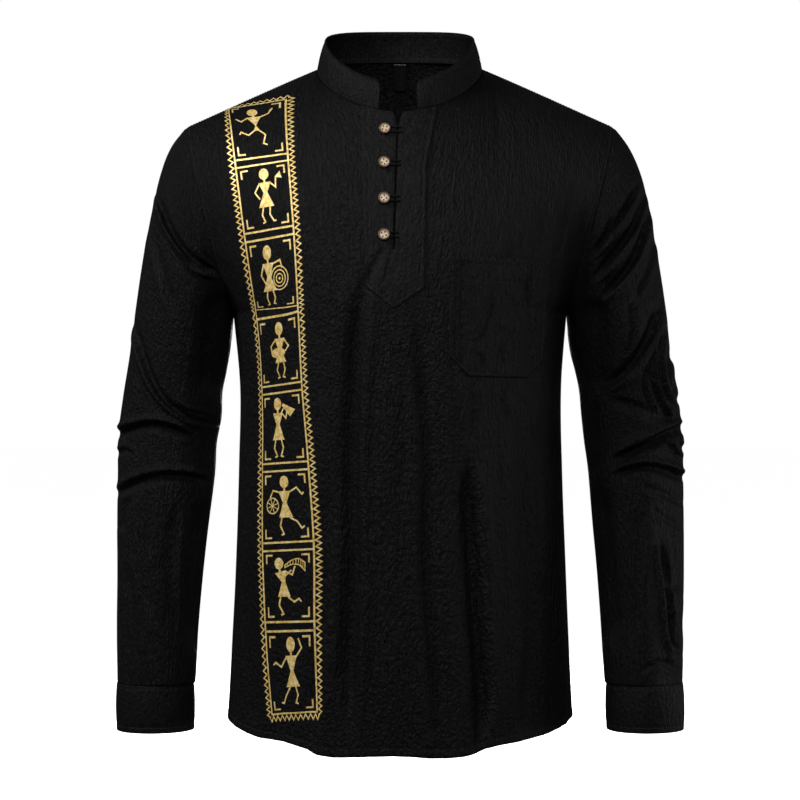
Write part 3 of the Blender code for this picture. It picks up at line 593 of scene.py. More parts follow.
frontCreases = (
    (((387, 244), (375, 266), (361, 292)), 1.4, 4.4, -0.3),
    (((392, 246), (389, 262), (385, 282)), 0.9, 2.4, -0.5),
    (((397, 256), (396, 268), (393, 284)), 0.8, 2.2, 0.4),
    (((374, 258), (360, 305), (353, 370), (350, 460), (352, 560), (348, 670), (350, 762)), 10.5, 9, 0.45),
    (((395, 318), (388, 380), (384, 470), (388, 580), (392, 690), (396, 762)), -2.2, 11, 0),
    (((414, 296), (422, 360), (429, 450), (428, 560), (436, 680), (441, 764)), 5.0, 9, -0.3),
    (((466, 455), (473, 540), (478, 620), (483, 700), (478, 764)), 10.0, 9, 0.5),
    (((330, 470), (325, 560), (319, 650), (310, 756)), 3.8, 8, 0.3),
    (((520, 420), (524, 520), (533, 640), (521, 746)), 5.0, 9, -0.3),
    (((243, 560), (250, 650), (257, 742)), 2.0, 8, 0),
    (((574, 178), (567, 214), (556, 264)), 0.9, 3, 0.3),
    (((590, 196), (582, 232), (574, 262)), 0.9, 3, 0.3),
    (((546, 205), (541, 236), (537, 258)), 0.8, 3, 0.3),
    (((558, 236), (552, 290), (556, 360)), 0.9, 4, 0),
    (((566, 300), (560, 380), (566, 470)), 1.0, 5, 0),
    (((340, 250), (334, 330), (338, 420)), 0.8, 4, 0),
    (((322, 300), (320, 380), (324, 450)), 0.7, 4, 0),
    (((452, 382), (456, 450), (450, 540)), 1.4, 6, 0.3),
    (((500, 384), (497, 450), (504, 520)), 1.0, 5, 0),
    (((402, 330), (405, 420), (400, 520)), 1.0, 5, 0),
    (((540, 560), (550, 640), (545, 736)), 1.6, 6, 0),
    (((493, 284), (491, 312), (484, 330), (474, 350)), 0.7, 2.0, 0.6),
    (((530, 262), (525, 290), (527, 330), (531, 366)), 2.2, 5, 0.4),
    (((503, 294), (512, 300), (513, 314)), 0.8, 2.2, 0.5),
    (((492, 322), (506, 331), (520, 334)), 0.8, 2.2, 0.5),
    (((504, 340), (500, 352), (504, 368)), 0.8, 2.4, 0.5),
    (((470, 352), (481, 357), (480, 370)), 0.9, 2.2, 0.5),
    (((524, 232), (521, 246), (524, 259)), 1.2, 2.4, 0.5),
    (((537, 236), (533, 248), (535, 260)), 1.2, 2.4, 0.5),
    (((511, 236), (513, 246), (510, 258)), 1.0, 2.4, 0.5),
    (((470, 384), (474, 402), (471, 436)), 1.2, 2.8, 0.5),
    (((487, 382), (492, 402), (488, 430)), 1.2, 2.8, 0.5),
    (((507, 382), (503, 400), (508, 426)), 1.2, 2.8, 0.5),
    (((402, 136), (412, 124), (432, 117)), 1.0, 2.4, -0.5),
    (((401, 152), (412, 138), (430, 127)), 0.9, 2.4, -0.5),
)
backCreases = (
    (((344, 168), (336, 270), (330, 380), (334, 520), (326, 650), (330, 770)), 5.0, 11, 0.3),
    (((446, 180), (450, 280), (456, 400), (452, 540), (460, 660), (456, 770)), 5.4, 10, -0.3),
    (((398, 260), (394, 380), (396, 500), (390, 640), (388, 772)), 3.6, 10, 0),
    (((512, 300), (514, 420), (520, 540), (516, 650), (522, 748)), 3.4, 10, 0.3),
    (((286, 300), (282, 420), (288, 540), (282, 650), (280, 748)), 3.0, 10, -0.3),
    (((420, 330), (424, 440), (420, 560)), 1.2, 6, 0),
    (((368, 360), (364, 460), (370, 580)), 1.2, 6, 0),
    (((300, 150), (322, 190), (330, 240)), 1.2, 6, 0.3),
    (((500, 150), (478, 190), (468, 240)), 1.2, 6, -0.3),
    (((250, 210), (262, 250), (270, 300)), 1.0, 5, 0),
    (((550, 210), (538, 250), (530, 300)), 1.0, 5, 0),
    (((478, 560), (484, 650), (480, 760)), 2.4, 8, 0),
    (((310, 580), (306, 670), (308, 756)), 2.2, 8, 0),
    (((420, 600), (426, 690), (424, 768)), 1.8, 7, 0),
)
leftSleeveCreases = {
    "front": (
        (((156, 190), (167, 222), (181, 246), (198, 262), (224, 278)), 3.8, 3.3, -0.9),
        (((184, 256), (198, 268), (218, 270)), 2.6, 2.8, -0.7),
        (((204, 252), (212, 262), (224, 264)), 1.6, 2.4, -0.5),
        (((152, 228), (161, 268), (176, 316)), 1.8, 4.6, -0.6),
        (((134, 316), (140, 346), (151, 378), (167, 402), (192, 419), (226, 426)), 3.2, 3.2, -0.9),
        (((168, 404), (190, 412), (220, 420)), 0.9, 2.6, 0.6),
        (((107, 440), (126, 431), (150, 425), (172, 429), (192, 438)), 3.4, 4.2, 0.8),
        (((112, 458), (124, 450), (134, 456)), 1.6, 2.8, 0.6),
        (((112, 498), (136, 483), (164, 476), (192, 478), (214, 482)), 3.2, 4.4, 0.8),
        (((130, 496), (124, 512), (122, 534)), 1.6, 4, 0.4),
        (((150, 500), (144, 560), (150, 620)), 1.4, 6, 0.3),
        (((176, 500), (170, 570), (174, 640)), 1.8, 7, 0.3),
        (((126, 560), (132, 610), (134, 664)), 1.4, 4, 0.4),
        (((204, 500), (198, 580), (192, 656)), 4.4, 10, 0),
        (((222, 290), (212, 340), (212, 400)), 5.5, 12, 0),
    ),
    "back": (
        (((160, 190), (176, 232), (204, 268)), 2.4, 6, -0.4),
        (((126, 330), (150, 362), (196, 386)), 2.0, 6, -0.4),
        (((110, 436), (140, 428), (176, 436), (210, 452)), 4.4, 7, 0.4),
        (((116, 486), (146, 474), (186, 470), (212, 462)), 3.4, 6, 0.4),
        (((150, 500), (154, 570), (160, 640)), 1.2, 7, 0),
        (((186, 300), (180, 350), (176, 400)), 1.0, 7, 0),
    ),
}
rightSleeveCreases = {
    "front": (
        (((637, 180), (629, 204), (612, 230), (590, 258)), 3.4, 3.6, 0.75),
        (((644, 190), (634, 224), (616, 252), (590, 284)), 4.4, 4.2, 0.75),
        (((647, 204), (641, 238), (628, 268), (600, 300)), 4.0, 4.0, 0.75),
        (((654, 232), (649, 264), (636, 298)), 1.8, 3.4, 0.6),
        (((614, 214), (604, 238), (592, 258)), 1.2, 2.6, 0.5),
        (((658, 300), (650, 334), (636, 359), (618, 377), (598, 390)), 4.6, 5.0, 0.8),
        (((663, 326), (659, 360), (667, 394), (680, 416)), 3.0, 2.6, 0.9),
        (((656, 340), (652, 372), (660, 402), (674, 424)), 2.8, 2.6, 0.9),
        (((671, 346), (669, 382), (681, 408)), 2.4, 2.4, 0.9),
        (((648, 362), (646, 390), (655, 412)), 2.2, 2.4, 0.8),
        (((606, 400), (634, 406), (662, 418), (684, 422)), 2.2, 5.5, 0.3),
        (((692, 424), (668, 434), (644, 446), (612, 462)), 4.6, 5.2, -0.8),
        (((690, 482), (668, 471), (642, 467), (612, 476)), 4.0, 4.0, -0.85),
        (((668, 434), (672, 448), (682, 460)), 2.4, 2.4, 0.9),
        (((678, 430), (680, 444), (688, 454)), 2.0, 2.2, 0.9),
        (((686, 506), (664, 494), (640, 486)), 1.8, 4.0, 0.5),
        (((684, 530), (668, 520), (650, 508)), 1.4, 3.4, 0.5),
        (((660, 536), (668, 590), (674, 640), (678, 668)), 2.4, 3.2, -0.7),
        (((672, 520), (676, 580), (684, 640)), 1.8, 2.8, -0.6),
        (((684, 600), (672, 584), (664, 560)), 1.2, 3, 0.5),
        (((684, 658), (672, 640), (668, 606)), 1.8, 3, 0.6),
        (((684, 676), (662, 662), (640, 672)), 1.8, 3.4, 0.5),
        (((592, 296), (602, 340), (598, 400)), 5.5, 13, 0),
        (((598, 480), (606, 560), (612, 652)), 5.0, 11, 0),
        (((640, 500), (638, 570), (632, 650)), 1.4, 6, 0.3),
        (((630, 300), (634, 330), (624, 362)), 1.4, 4, 0.4),
    ),
    "back": (
        (((640, 190), (624, 232), (600, 268)), 2.4, 6, 0.4),
        (((676, 330), (652, 362), (604, 386)), 2.0, 6, 0.4),
        (((690, 430), (660, 424), (624, 434), (592, 450)), 4.2, 7, -0.4),
        (((686, 480), (656, 470), (616, 468), (590, 462)), 3.4, 6, 0.4),
        (((648, 500), (644, 570), (638, 640)), 1.2, 7, 0),
        (((618, 300), (622, 350), (626, 400)), 1.0, 7, 0),
    ),
}


# How far a seam draws the cloth in, for a distance from it in metres.
def seamTuck(away, deep=0.0009, reach=0.0022):
    return deep * np.exp(-((away / reach) ** 2))


# A panel laid flat: half its width for the pattern, hem to underarm, underarm to shoulder, half its girth.
flatPanel = {"halfWidth": 0.215, "lower": 0.424, "upper": 0.235, "halfGirth": 0.27, "backShift": 1.1}


def clothMap(face, column, row):
    lower = flatPanel["lower"]
    v = np.where(row <= 1, row * lower, lower + (row - 1) * flatPanel["upper"])
    return column * flatPanel["halfWidth"], v + (0.0 if face == "front" else flatPanel["backShift"])


# heights of the crinkles, of the cloth's slow sway and of the turned hem, in metres
relief = {"all": 0.00020, "right": 0.00018, "low": 0.00060, "sway": 0.0011, "hem": 0.0004}
# how far the front's hem hangs below its even line, in mm, by pixel across
hemSteps = np.array((
    (230, -2), (260, -3), (272, -5), (284, -6), (296, -4), (308, -2), (316, 2), (332, 3), (344, 2), (368, 0),
    (392, -1), (412, 0), (428, 2), (444, 3), (464, 3), (476, 1), (486, -3), (500, -4), (536, -4), (575, -3),
))


# The body's surface as it shows: the CAD form with creases, crinkles and seams drawn in.
def surfacePoint(face, column, row, lift=0.0):
    column = np.asarray(column, dtype=float)
    row = np.clip(np.asarray(row, dtype=float), 0, 2)
    base = panelPoint(face, column, row)
    normal = panelNormal(face, column, row)
    places = photoPlace(base, face)
    side = 1 - ease((np.abs(column) - 0.84) / 0.15)
    top = ease((2 - row) / 0.07)
    depth = creaseDepth(places, frontCreases if face == "front" else backCreases) * side * top
    u, v = clothMap(face, column, row)
    # the crinkles grow towards the hem and, in front, towards the pocket side
    right = ease((places[:, 0] - 330) / 160) if face == "front" else 0.7
    low = ease((places[:, 1] - 200) / 260)
    amount = relief["all"] + relief["right"] * right + relief["low"] * low
    depth = depth + crinkle(u, v, 3 if face == "front" else 17) * amount * side * top
    sway = softNoise(u / 0.05, v / 0.16, 40 if face == "front" else 41)
    depth = depth + relief["sway"] * sway * side * top * low
    depth = depth + seamTuck((1 - np.abs(column)) * flatPanel["halfGirth"])
    shoulder = (2 - row) * flatPanel["upper"]
    depth = depth + np.where(np.abs(column) > neck["column"], seamTuck(shoulder, 0.0006), 0)
    # the stitched hem stands a little proud above its stitch line
    hemAway = row * flatPanel["lower"]
    if face == "front":
        drop = np.interp(places[:, 0], *hemSteps.T) * side * np.clip(1 - row / 0.22, 0, 1) ** 2
        base[:, 2] -= drop * 0.001
    depth = depth - relief["hem"] * (1 - ease((hemAway - 0.0072) / 0.0012))
    depth = depth + seamTuck(hemAway - 0.0085, 0.0004, 0.0014)
    return base - normal * (depth - lift)[:, None]


# Mesh helpers
def vertexPlaces(mesh):
    places = np.empty(len(mesh.vertices) * 3)
    mesh.vertices.foreach_get("co", places)
    return places.reshape(-1, 3)


def gridMesh(name, columns, rows, partedAbove=None):
    bm = bmesh.new()
    bmesh.ops.create_grid(bm, x_segments=columns, y_segments=rows, size=1.0)
    if partedAbove is not None:
        partMiddle(bm, partedAbove)
    mesh = closeMesh(name, bm)
    places = vertexPlaces(mesh)
    return mesh, places[:, 0], places[:, 1]


def setCloth(mesh, points, u, v):
    mesh.vertices.foreach_set("co", np.ascontiguousarray(points, dtype=np.float32).ravel())
    corners = np.empty(len(mesh.loops), dtype=np.int32)
    mesh.loops.foreach_get("vertex_index", corners)
    layer = mesh.uv_layers.get("cloth") or mesh.uv_layers.new(name="cloth")
    layer.uv.foreach_set("vector", np.stack((u[corners], v[corners]), axis=1).astype(np.float32).ravel())
    mesh.update()


# Turns the faces out: where they look towards the given upright middle line, the mesh is turned over.
def faceOut(mesh, middle):
    count = len(mesh.polygons)
    normals = np.empty(count * 3)
    centres = np.empty(count * 3)
    mesh.polygons.foreach_get("normal", normals)
    mesh.polygons.foreach_get("center", centres)
    outward = centres.reshape(-1, 3)[:, :2] - middle
    if np.sum(normals.reshape(-1, 3)[:, :2] * outward) < 0:
        mesh.flip_normals()


def weld(mesh, distance=1e-6):
    bm = bmesh.new()
    bm.from_mesh(mesh)
    bmesh.ops.remove_doubles(bm, verts=bm.verts, dist=distance)
    bm.to_mesh(mesh)
    bm.free()


def placePiece(name, mesh, finish, replaced=(), wall=0.0, round=0.0):
    mesh.materials.append(finish)
    mesh.shade_smooth()
    piece = bpy.data.objects.new(name, mesh)
    bpy.context.scene.collection.objects.link(piece)
    if wall:
        thick = piece.modifiers.new("wall", "SOLIDIFY")
        thick.thickness = wall
        thick.offset = -1
        thick.use_even_offset = False
    if round:
        bevel = piece.modifiers.new("round", "BEVEL")
        bevel.width = round
        bevel.segments = 2
        bevel.limit_method = "ANGLE"
        bevel.angle_limit = math.radians(50)
    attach(piece, "root")
    if replaced:
        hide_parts(*replaced)
    return piece


def warpColumn(t, inner, half):
    share = np.abs(t) * half
    column = np.where(
        share <= inner,
        share / inner * neck["column"],
        neck["column"] + (share - inner) / (half - inner) * (1 - neck["column"]),
    )
    return column * np.sign(t)


def warpRow(t, lower, rows):
    share = (t + 1) / 2 * rows
    return np.where(share <= lower, share / lower, 1 + (share - lower) / (rows - lower))


# Front and back
panels = {"columns": 150, "inner": 28, "rows": 230, "lowerRows": 150, "slitRows": 60}


# Parts a grid along its middle line above a level; the two sides then stand a hair apart.
def partMiddle(bm, level):
    edges = []
    for edge in bm.edges:
        first, second = edge.verts
        if abs(first.co.x) + abs(second.co.x) < 1e-6 and min(first.co.y, second.co.y) > level - 1e-5:
            edges.append(edge)
    bmesh.ops.split_edges(bm, edges=edges)
    for vert in bm.verts:
        if abs(vert.co.x) < 1e-6 and vert.co.y > level + 1e-5:
            middle = sum(face.calc_center_median().x for face in vert.link_faces)
            vert.co.x = math.copysign(2e-6, middle)


def makeBody(face):
    slitFoot = 1 - panels["slitRows"] * 2 / panels["rows"] if face == "front" else None
    mesh, across, up = gridMesh(face, panels["columns"], panels["rows"], slitFoot)
    column = warpColumn(across, panels["inner"], panels["columns"] / 2)
    row = warpRow(up, panels["lowerRows"], panels["rows"])
    if face == "back":
        column = -column
    points = surfacePoint(face, column, row)
    if face == "front":
        cut = (np.abs(across) < 1e-5) & (np.abs(across) > 1e-6)
        points[cut, 0] += np.sign(across[cut]) * slitHalfGap(points[cut, 2])
    u, v = clothMap(face, column, row)
    setCloth(mesh, points, u, v)
    return placePiece(face + "Panel", mesh, cotton, (face,), body["wall"])


frontPanel = makeBody("front")
backPanel = makeBody("back")
print("front and back laid")


# Sleeves and cuffs
# outer x and z, inner x and z, middle y and half depth, from the armhole to the cuff
leftRings = np.array((
    (0.2280, -0.068, 0.1768, -0.266, 0.000, 0.061), (0.2440, -0.090, 0.1776, -0.275, 0.000, 0.064),
    (0.2545, -0.118, 0.1784, -0.284, 0.000, 0.066), (0.2630, -0.155, 0.1796, -0.295, 0.001, 0.066),
    (0.2735, -0.208, 0.1818, -0.310, 0.003, 0.065), (0.2815, -0.262, 0.1850, -0.328, 0.004, 0.063),
    (0.2880, -0.312, 0.1895, -0.350, 0.005, 0.060), (0.2955, -0.358, 0.1905, -0.376, 0.005, 0.058),
    (0.3000, -0.398, 0.1955, -0.404, 0.004, 0.056), (0.3000, -0.436, 0.1970, -0.436, 0.000, 0.055),
    (0.3000, -0.485, 0.2025, -0.485, -0.006, 0.052), (0.2990, -0.540, 0.2080, -0.540, -0.014, 0.048),
    (0.2980, -0.598, 0.2125, -0.598, -0.022, 0.044), (0.2970, -0.6545, 0.2150, -0.6545, -0.030, 0.0405),
))
rightRings = np.array((
    (0.2280, -0.068, 0.1768, -0.266, 0.000, 0.061), (0.2445, -0.091, 0.1776, -0.275, 0.000, 0.064),
    (0.2565, -0.120, 0.1784, -0.284, 0.000, 0.066), (0.2650, -0.157, 0.1796, -0.295, 0.001, 0.066),
    (0.2745, -0.206, 0.1822, -0.310, 0.003, 0.065), (0.2825, -0.258, 0.1865, -0.326, 0.004, 0.063),
    (0.2885, -0.310, 0.1912, -0.348, 0.005, 0.060), (0.2955, -0.354, 0.1935, -0.374, 0.005, 0.058),
    (0.3010, -0.392, 0.1965, -0.402, 0.004, 0.056), (0.3010, -0.434, 0.2005, -0.434, 0.000, 0.055),
    (0.3010, -0.485, 0.2040, -0.485, -0.006, 0.052), (0.3000, -0.540, 0.2083, -0.540, -0.014, 0.048),
    (0.2985, -0.598, 0.2120, -0.598, -0.022, 0.044), (0.2970, -0.6545, 0.2150, -0.6545, -0.030, 0.0405),
))
sleeve = {"columns": 160, "rows": 268, "girth": 0.36, "length": 0.60, "fade": 0.25, "gap": 0.0014}
sleeve.update(deepen=1.7, frontShare=0.64, crinkle=0.00068, join=20, middle=0.235)


def armholePoint(side, angle):
    angle = np.mod(angle, 360)
    sides = np.full(len(angle), float(side))
    front = panelPoint("front", sides, 2 - np.clip(angle, 0, 180) / 180)
    back = panelPoint("back", sides, 1 + np.clip(angle - 180, 0, 180) / 180)
    return np.where((angle <= 180)[:, None], front, back)


def ringPoint(ring, side, angle):
    turn = np.radians(angle)
    outer = np.stack((side * ring[:, 0], ring[:, 4], ring[:, 1]), axis=1)
    inner = np.stack((side * ring[:, 2], ring[:, 4], ring[:, 3]), axis=1)
    across = (outer - inner) / 2 * np.cos(turn)[:, None]
    forward = np.stack((turn * 0, -ring[:, 5] * np.sin(turn), turn * 0), axis=1)
    return (outer + inner) / 2 + across + forward, (outer + inner) / 2


def sleevePoint(table, creases, side, angle, along, seed):
    ring = tableRow(table, along)
    point, middle = ringPoint(ring, side, angle)
    first, _ = ringPoint(np.repeat(table[:1], len(angle), axis=0), side, angle)
    fade = 1 - ease(along / sleeve["fade"])
    point = point + (armholePoint(side, angle) - first) * fade[:, None]
    outward = units(point - middle)
    facing = np.sin(np.radians(angle))
    ends = ease((along - 0.004) / 0.035) * ease((1 - along) / 0.03)
    front = creaseDepth(photoPlace(point, "front"), creases["front"]) * ease((facing + 0.18) / 0.3)
    back = creaseDepth(photoPlace(point, "back"), creases["back"]) * ease((-facing + 0.05) / 0.3)
    outer = np.where(np.cos(np.radians(angle)) > 0, mixed(0.3, 1.0, ease(np.abs(facing) / 0.45)), 1.0)
    depth = (front + back) * ends * outer * sleeve["deepen"]
    u = angle / 360 * sleeve["girth"]
    v = along * sleeve["length"]
    inside = 1 - 0.75 * ease((-np.cos(np.radians(angle)) - 0.5) / 0.4)
    # the crinkles run on across the underarm seam
    onward = crinkle(u + sleeve["girth"], v, seed)
    own = crinkle(u, v, seed)
    wrapped = np.where(angle < sleeve["join"], mixed(onward, own, ease(angle / sleeve["join"])), own)
    depth = depth + wrapped * sleeve["crinkle"] * ends * inside
    depth = np.where(depth < 0, depth * inside, depth)
    depth = depth + seamTuck(along * sleeve["length"], 0.0009)
    depth = depth + seamTuck((1 - along) * sleeve["length"], 0.0004)
    return point - outward * depth[:, None], u, v


def armholeOut(side):
    across = (body["tip"] - body["underarm"]) / np.linalg.norm(body["tip"] - body["underarm"])
    return np.array((side * across[2], 0.0, -across[0]))


def makeSleeve(name, table, creases, side, seed):
    mesh, across, up = gridMesh(name, sleeve["columns"], sleeve["rows"])
    # more of the columns go to the front half, where most of the creases are
    part = (across + 1) / 2
    forward = sleeve["frontShare"]
    angle = np.where(part < forward, part / forward * 180, 180 + (part - forward) / (1 - forward) * 180)
    along = (up + 1) / 2
    points, u, v = sleevePoint(table, creases, side, angle, along, seed)
    points -= armholeOut(side) * sleeve["gap"] * (1 - ease(along / 0.006))[:, None]
    setCloth(mesh, points, u + 0.5 * (side + 2), v)
    weld(mesh, 2e-6)
    faceOut(mesh, (side * sleeve["middle"], 0.0))
    return placePiece(name + "Cloth", mesh, sleeveCotton, (name,), body["wall"])


leftSleeve = makeSleeve("sleeve_left", leftRings, leftSleeveCreases, -1, 60)
rightSleeve = makeSleeve("sleeve_right", rightRings, rightSleeveCreases, 1, 80)
print("sleeves set in")

cuff = {"top": -0.6553, "foot": -0.7030, "halfWidth": 0.0405, "halfDepth": 0.0395, "x": 0.2570, "y": -0.031}
cuff.update(columns=140, rows=30, wall=0.0016, height=0.048, girth=0.25)


def cuffPoint(side, angle, share, lift=0.0):
    turn = np.radians(angle)
    flare = 0.0010 * np.sin(np.pi * share)
    wave = 0.0006 * np.sin(np.radians(angle * 3 + side * 40)) * share
    down = share * cuff["height"]
    depth = seamTuck(down, 0.0004) + seamTuck(cuff["height"] - down - 0.0065, 0.0004, 0.0012)
    depth = depth + 0.00022 * crinkle(angle / 360 * cuff["girth"], down, 90 + side)
    out = flare + wave - depth + lift
    x = side * cuff["x"] + (cuff["halfWidth"] + out) * np.cos(turn) * side
    y = cuff["y"] - (cuff["halfDepth"] + out) * np.sin(turn)
    level = mixed(cuff["top"], cuff["foot"], share) + 0.0016 * (1 - ease(share / 0.04))
    return np.stack((x, y, level), axis=1)


def makeCuff(name, side):
    mesh, across, up = gridMesh(name, cuff["columns"], cuff["rows"])
    angle = (across + 1) * 180
    share = (1 - up) / 2
    points = cuffPoint(side, angle, share)
    setCloth(mesh, points, angle / 360 * cuff["girth"] + side, -share * cuff["height"])
    weld(mesh, 2e-6)
    faceOut(mesh, (side * cuff["x"], cuff["y"]))
    return placePiece(name + "Band", mesh, smoothCotton, (name,), cuff["wall"], 0.0005)


leftCuff = makeCuff("cuff_left", -1)
rightCuff = makeCuff("cuff_right", 1)
print("cuffs on")


# Collar
def collarPoint(angle, share, lift=0.0):
    rounding = np.clip((share - (1 - collar["corner"])) / collar["corner"], 0, 1)
    cut = collar["corner"] * collar["height"] * (1 - np.sqrt(np.maximum(1 - rounding**2, 0))) / neck["front"]
    angle = angle * (1 - np.degrees(cut) / collar["end"])
    base = neckPoint(angle)
    rim = rimPoint(angle)
    outward = units(np.stack((base[:, 0], base[:, 1], base[:, 0] * 0), axis=1))
    swell = np.sin(np.pi * share) * collar["wall"] * 0.5
    up = share * collar["cut"]
    tuck = seamTuck(up, 0.0007) + seamTuck(collar["cut"] - up - 0.0042, 0.0005, 0.0011)
    ripple = 0.0002 * crinkle(np.radians(angle) * neck["halfWidth"], share * 0.03, 12)
    point = mixed(base, rim, share[:, None]) + outward * (swell - tuck - ripple + lift)[:, None]
    point[:, 2] -= 0.0016 * (1 - ease(share / 0.045))  # its foot goes down inside the neck seam
    return point


def makeCollar():
    mesh, across, up = gridMesh("collar", 220, 22)
    angle = across * collar["end"]
    share = (up + 1) / 2
    across = np.radians(angle) * neck["halfWidth"]
    setCloth(mesh, collarPoint(angle, share), across, share * collar["cut"] + 3)
    faceOut(mesh, (0.0, 0.0))
    return placePiece("collarBand", mesh, smoothCotton, ("collar",), collar["wall"], 0.0005)


collarBand = makeCollar()
print("collar on")


# What lies on the front
# The front panel's column and row under places of the front view.
def frontPlace(x, z):
    x = np.asarray(x, dtype=float)
    z = np.asarray(z, dtype=float)
    column = x / body["underarm"][0] * 0.6
    row = 1 + (z - body["underarm"][2]) / (neckFrontLevel - body["underarm"][2])
    row = np.where(row < 1, 1 + (z - body["underarm"][2]) / 0.43, row)
    step = 1e-4
    for _ in range(16):
        row = np.clip(row, 0.0002, 1.9998)
        here = panelPoint("front", column, row)
        byColumn = (panelPoint("front", column + step, row) - here) / step
        byRow = (here - panelPoint("front", column, row - step)) / step
        aimX = x - here[:, 0]
        aimZ = z - here[:, 2]
        scale = byColumn[:, 0] * byRow[:, 2] - byColumn[:, 2] * byRow[:, 0]
        column = np.clip(column + (aimX * byRow[:, 2] - aimZ * byRow[:, 0]) / scale, -0.999, 0.999)
        row = row + (byColumn[:, 0] * aimZ - byColumn[:, 2] * aimX) / scale
    return column, np.clip(row, 0.0002, 1.9998)


# The same for pixels of the front view, where nearer cloth looks larger.
def pixelPlace(spots):
    spots = np.asarray(spots, dtype=float)
    y = np.full(len(spots), -0.10)
    for _ in range(6):
        scale = (view["distance"] + y) / view["focal"]
        x = (spots[:, 0] - view["middle"]) * scale
        z = view["height"] - (spots[:, 1] - view["middle"]) * scale
        column, row = frontPlace(x, z)
        y = panelPoint("front", column, row)[:, 1]
    return column, row


placket = {"leftTop": -0.0400, "leftFoot": -0.0362, "top": -0.0560, "split": -0.2065, "leftCorner": -0.2420}
placket.update(point=-0.2670, rightCorner=-0.2450, wall=0.0008, width=0.031, tail=0.06)
placket["right"] = ((0.0560, 0.1180, 0.2450), (0.0390, 0.0272, 0.0250))  # depths and its edge there


def placketLeft(z):
    share = np.clip((placket["top"] - z) / (placket["top"] - placket["split"]), 0, 1)
    return mixed(placket["leftTop"], placket["leftFoot"], share)


def placketRight(z):
    return np.interp(-z, *placket["right"])


def necklineLevel(x):
    turn = np.degrees(np.arcsin(np.clip(np.abs(x) / neck["halfWidth"], 0, 1)))
    return neckPoint(180 - turn)[:, 2]


# A place on the band: which side of the slit, how far from it (0 to 1) and the rise above the tail.
def placketSpot(right, share, rise):
    above = mixed(placket["split"], placket["top"], rise)
    guess = np.where(rise >= 0, above, mixed(placket["split"], placket["point"], -rise))
    mouth = slitX(guess)
    half = np.where(rise >= 0, slitHalfGap(guess + neckFrontLevel - placket["top"]), 0.0)
    onRight = mixed(mouth + half, placketRight(guess), share)
    onLeft = mixed(mouth - half, placketLeft(guess), share)
    x = np.where(right, onRight, onLeft)
    foot = mixed(placket["point"], np.where(right, placket["rightCorner"], placket["leftCorner"]), share)
    above = mixed(placket["split"], necklineLevel(x) - 0.0004, rise)
    return x, np.where(rise >= 0, above, mixed(placket["split"], foot, -rise))


def layOnFront(mesh, x, z, lift, vShift):
    column, row = frontPlace(x, z)
    u, v = clothMap("front", column, row)
    setCloth(mesh, surfacePoint("front", column, row, lift), u, v + vShift)


# How a sewn patch lies: raised, and drawn down to the cloth along its sewn edge.
def patchLift(away, lift=0.0010):
    for place, deep, reach in ((0, 0.0003, 0.0009), (0.0020, -0.0006, 0.0011), (0.0042, 0.0004, 0.0012)):
        lift = lift - seamTuck(away - place, deep, reach)
    return lift


bandRows = {"all": 92, "tail": 24}


def makePlacket():
    tail = bandRows["tail"]
    mesh, across, up = gridMesh("placket", 40, bandRows["all"], -1 + 2 * tail / bandRows["all"])
    share = (up + 1) / 2 * bandRows["all"]
    rise = np.where(share >= tail, (share - tail) / (bandRows["all"] - tail), share / tail - 1)
    x, z = placketSpot(across >= 0, np.clip(np.abs(across), 0, 1), rise)
    edge = np.minimum((1 - np.abs(across)) * placket["width"], (rise + 1) * placket["tail"])
    beside = np.where(rise > 0, np.abs(across) * placket["width"], 1)
    lift = patchLift(edge) - seamTuck(beside, 0.0003, 0.001)
    lift = lift + np.where(across > 0, 0.0003, 0) * ease(rise / 0.05)
    layOnFront(mesh, x, z, lift, 5)
    replaced = ("placket_over", "placket_under")
    return placePiece("placketBands", mesh, smoothCotton, replaced, placket["wall"], 0.0003)


placketBands = makePlacket()

pocket = {"leftTop": (0.0521, -0.2128), "rightTop": (0.1540, -0.2150), "width": 0.100, "height": 0.118}
pocket.update(wall=0.0008, foldTop=0.0625, foldFoot=0.0605)
pocket["foot"] = np.array(((0.0484, -0.3130), (0.0690, -0.3345), (0.1290, -0.3360), (0.1470, -0.3165)))


def pocketSpot(across, rise):
    top = mixed(np.array(pocket["leftTop"]), np.array(pocket["rightTop"]), across[:, None])
    knots = (0.0, 0.2, 0.8, 1.0)
    foot = np.stack([np.interp(across, knots, pocket["foot"][:, axis]) for axis in (0, 1)], axis=1)
    spot = mixed(foot, top, rise[:, None])
    return spot[:, 0], spot[:, 1]


def makePocket():
    mesh, across, up = gridMesh("pocket", 60, 64)
    share = (across + 1) / 2
    rise = (up + 1) / 2
    x, z = pocketSpot(share, rise)
    edge = np.minimum(np.minimum(share, 1 - share) * pocket["width"], rise * pocket["height"])
    fromTop = (1 - rise) * pocket["height"]
    # its mouth stands off a little; the edge is puffed and the top hem stitched down
    lift = patchLift(edge) + 0.0014 * np.exp(-((fromTop / 0.02) ** 2))
    lift = lift + seamTuck(fromTop - 0.0030, 0.0012, 0.0014) + seamTuck(edge - 0.0020, 0.0006, 0.0011)
    lift = lift - seamTuck(fromTop - 0.024, 0.0008, 0.0014)
    fold = np.abs(x - mixed(pocket["foldTop"], pocket["foldFoot"], 1 - rise))
    lift = lift - seamTuck(fold, 0.0011, 0.0013)
    layOnFront(mesh, x, z, lift, 7)
    return placePiece("pocketPatch", mesh, sleeveCotton, ("pocket",), pocket["wall"], 0.0003)


pocketPatch = makePocket()
print("placket and pocket sewn on")


# Stitches
thread = {"pitch": 0.0031, "length": 0.0022, "width": 0.00052, "look": 0.0006}
thread.update(hem=0.0080, shoulder=0.0045, armhole=0.0050)  # how far each run lies from its edge


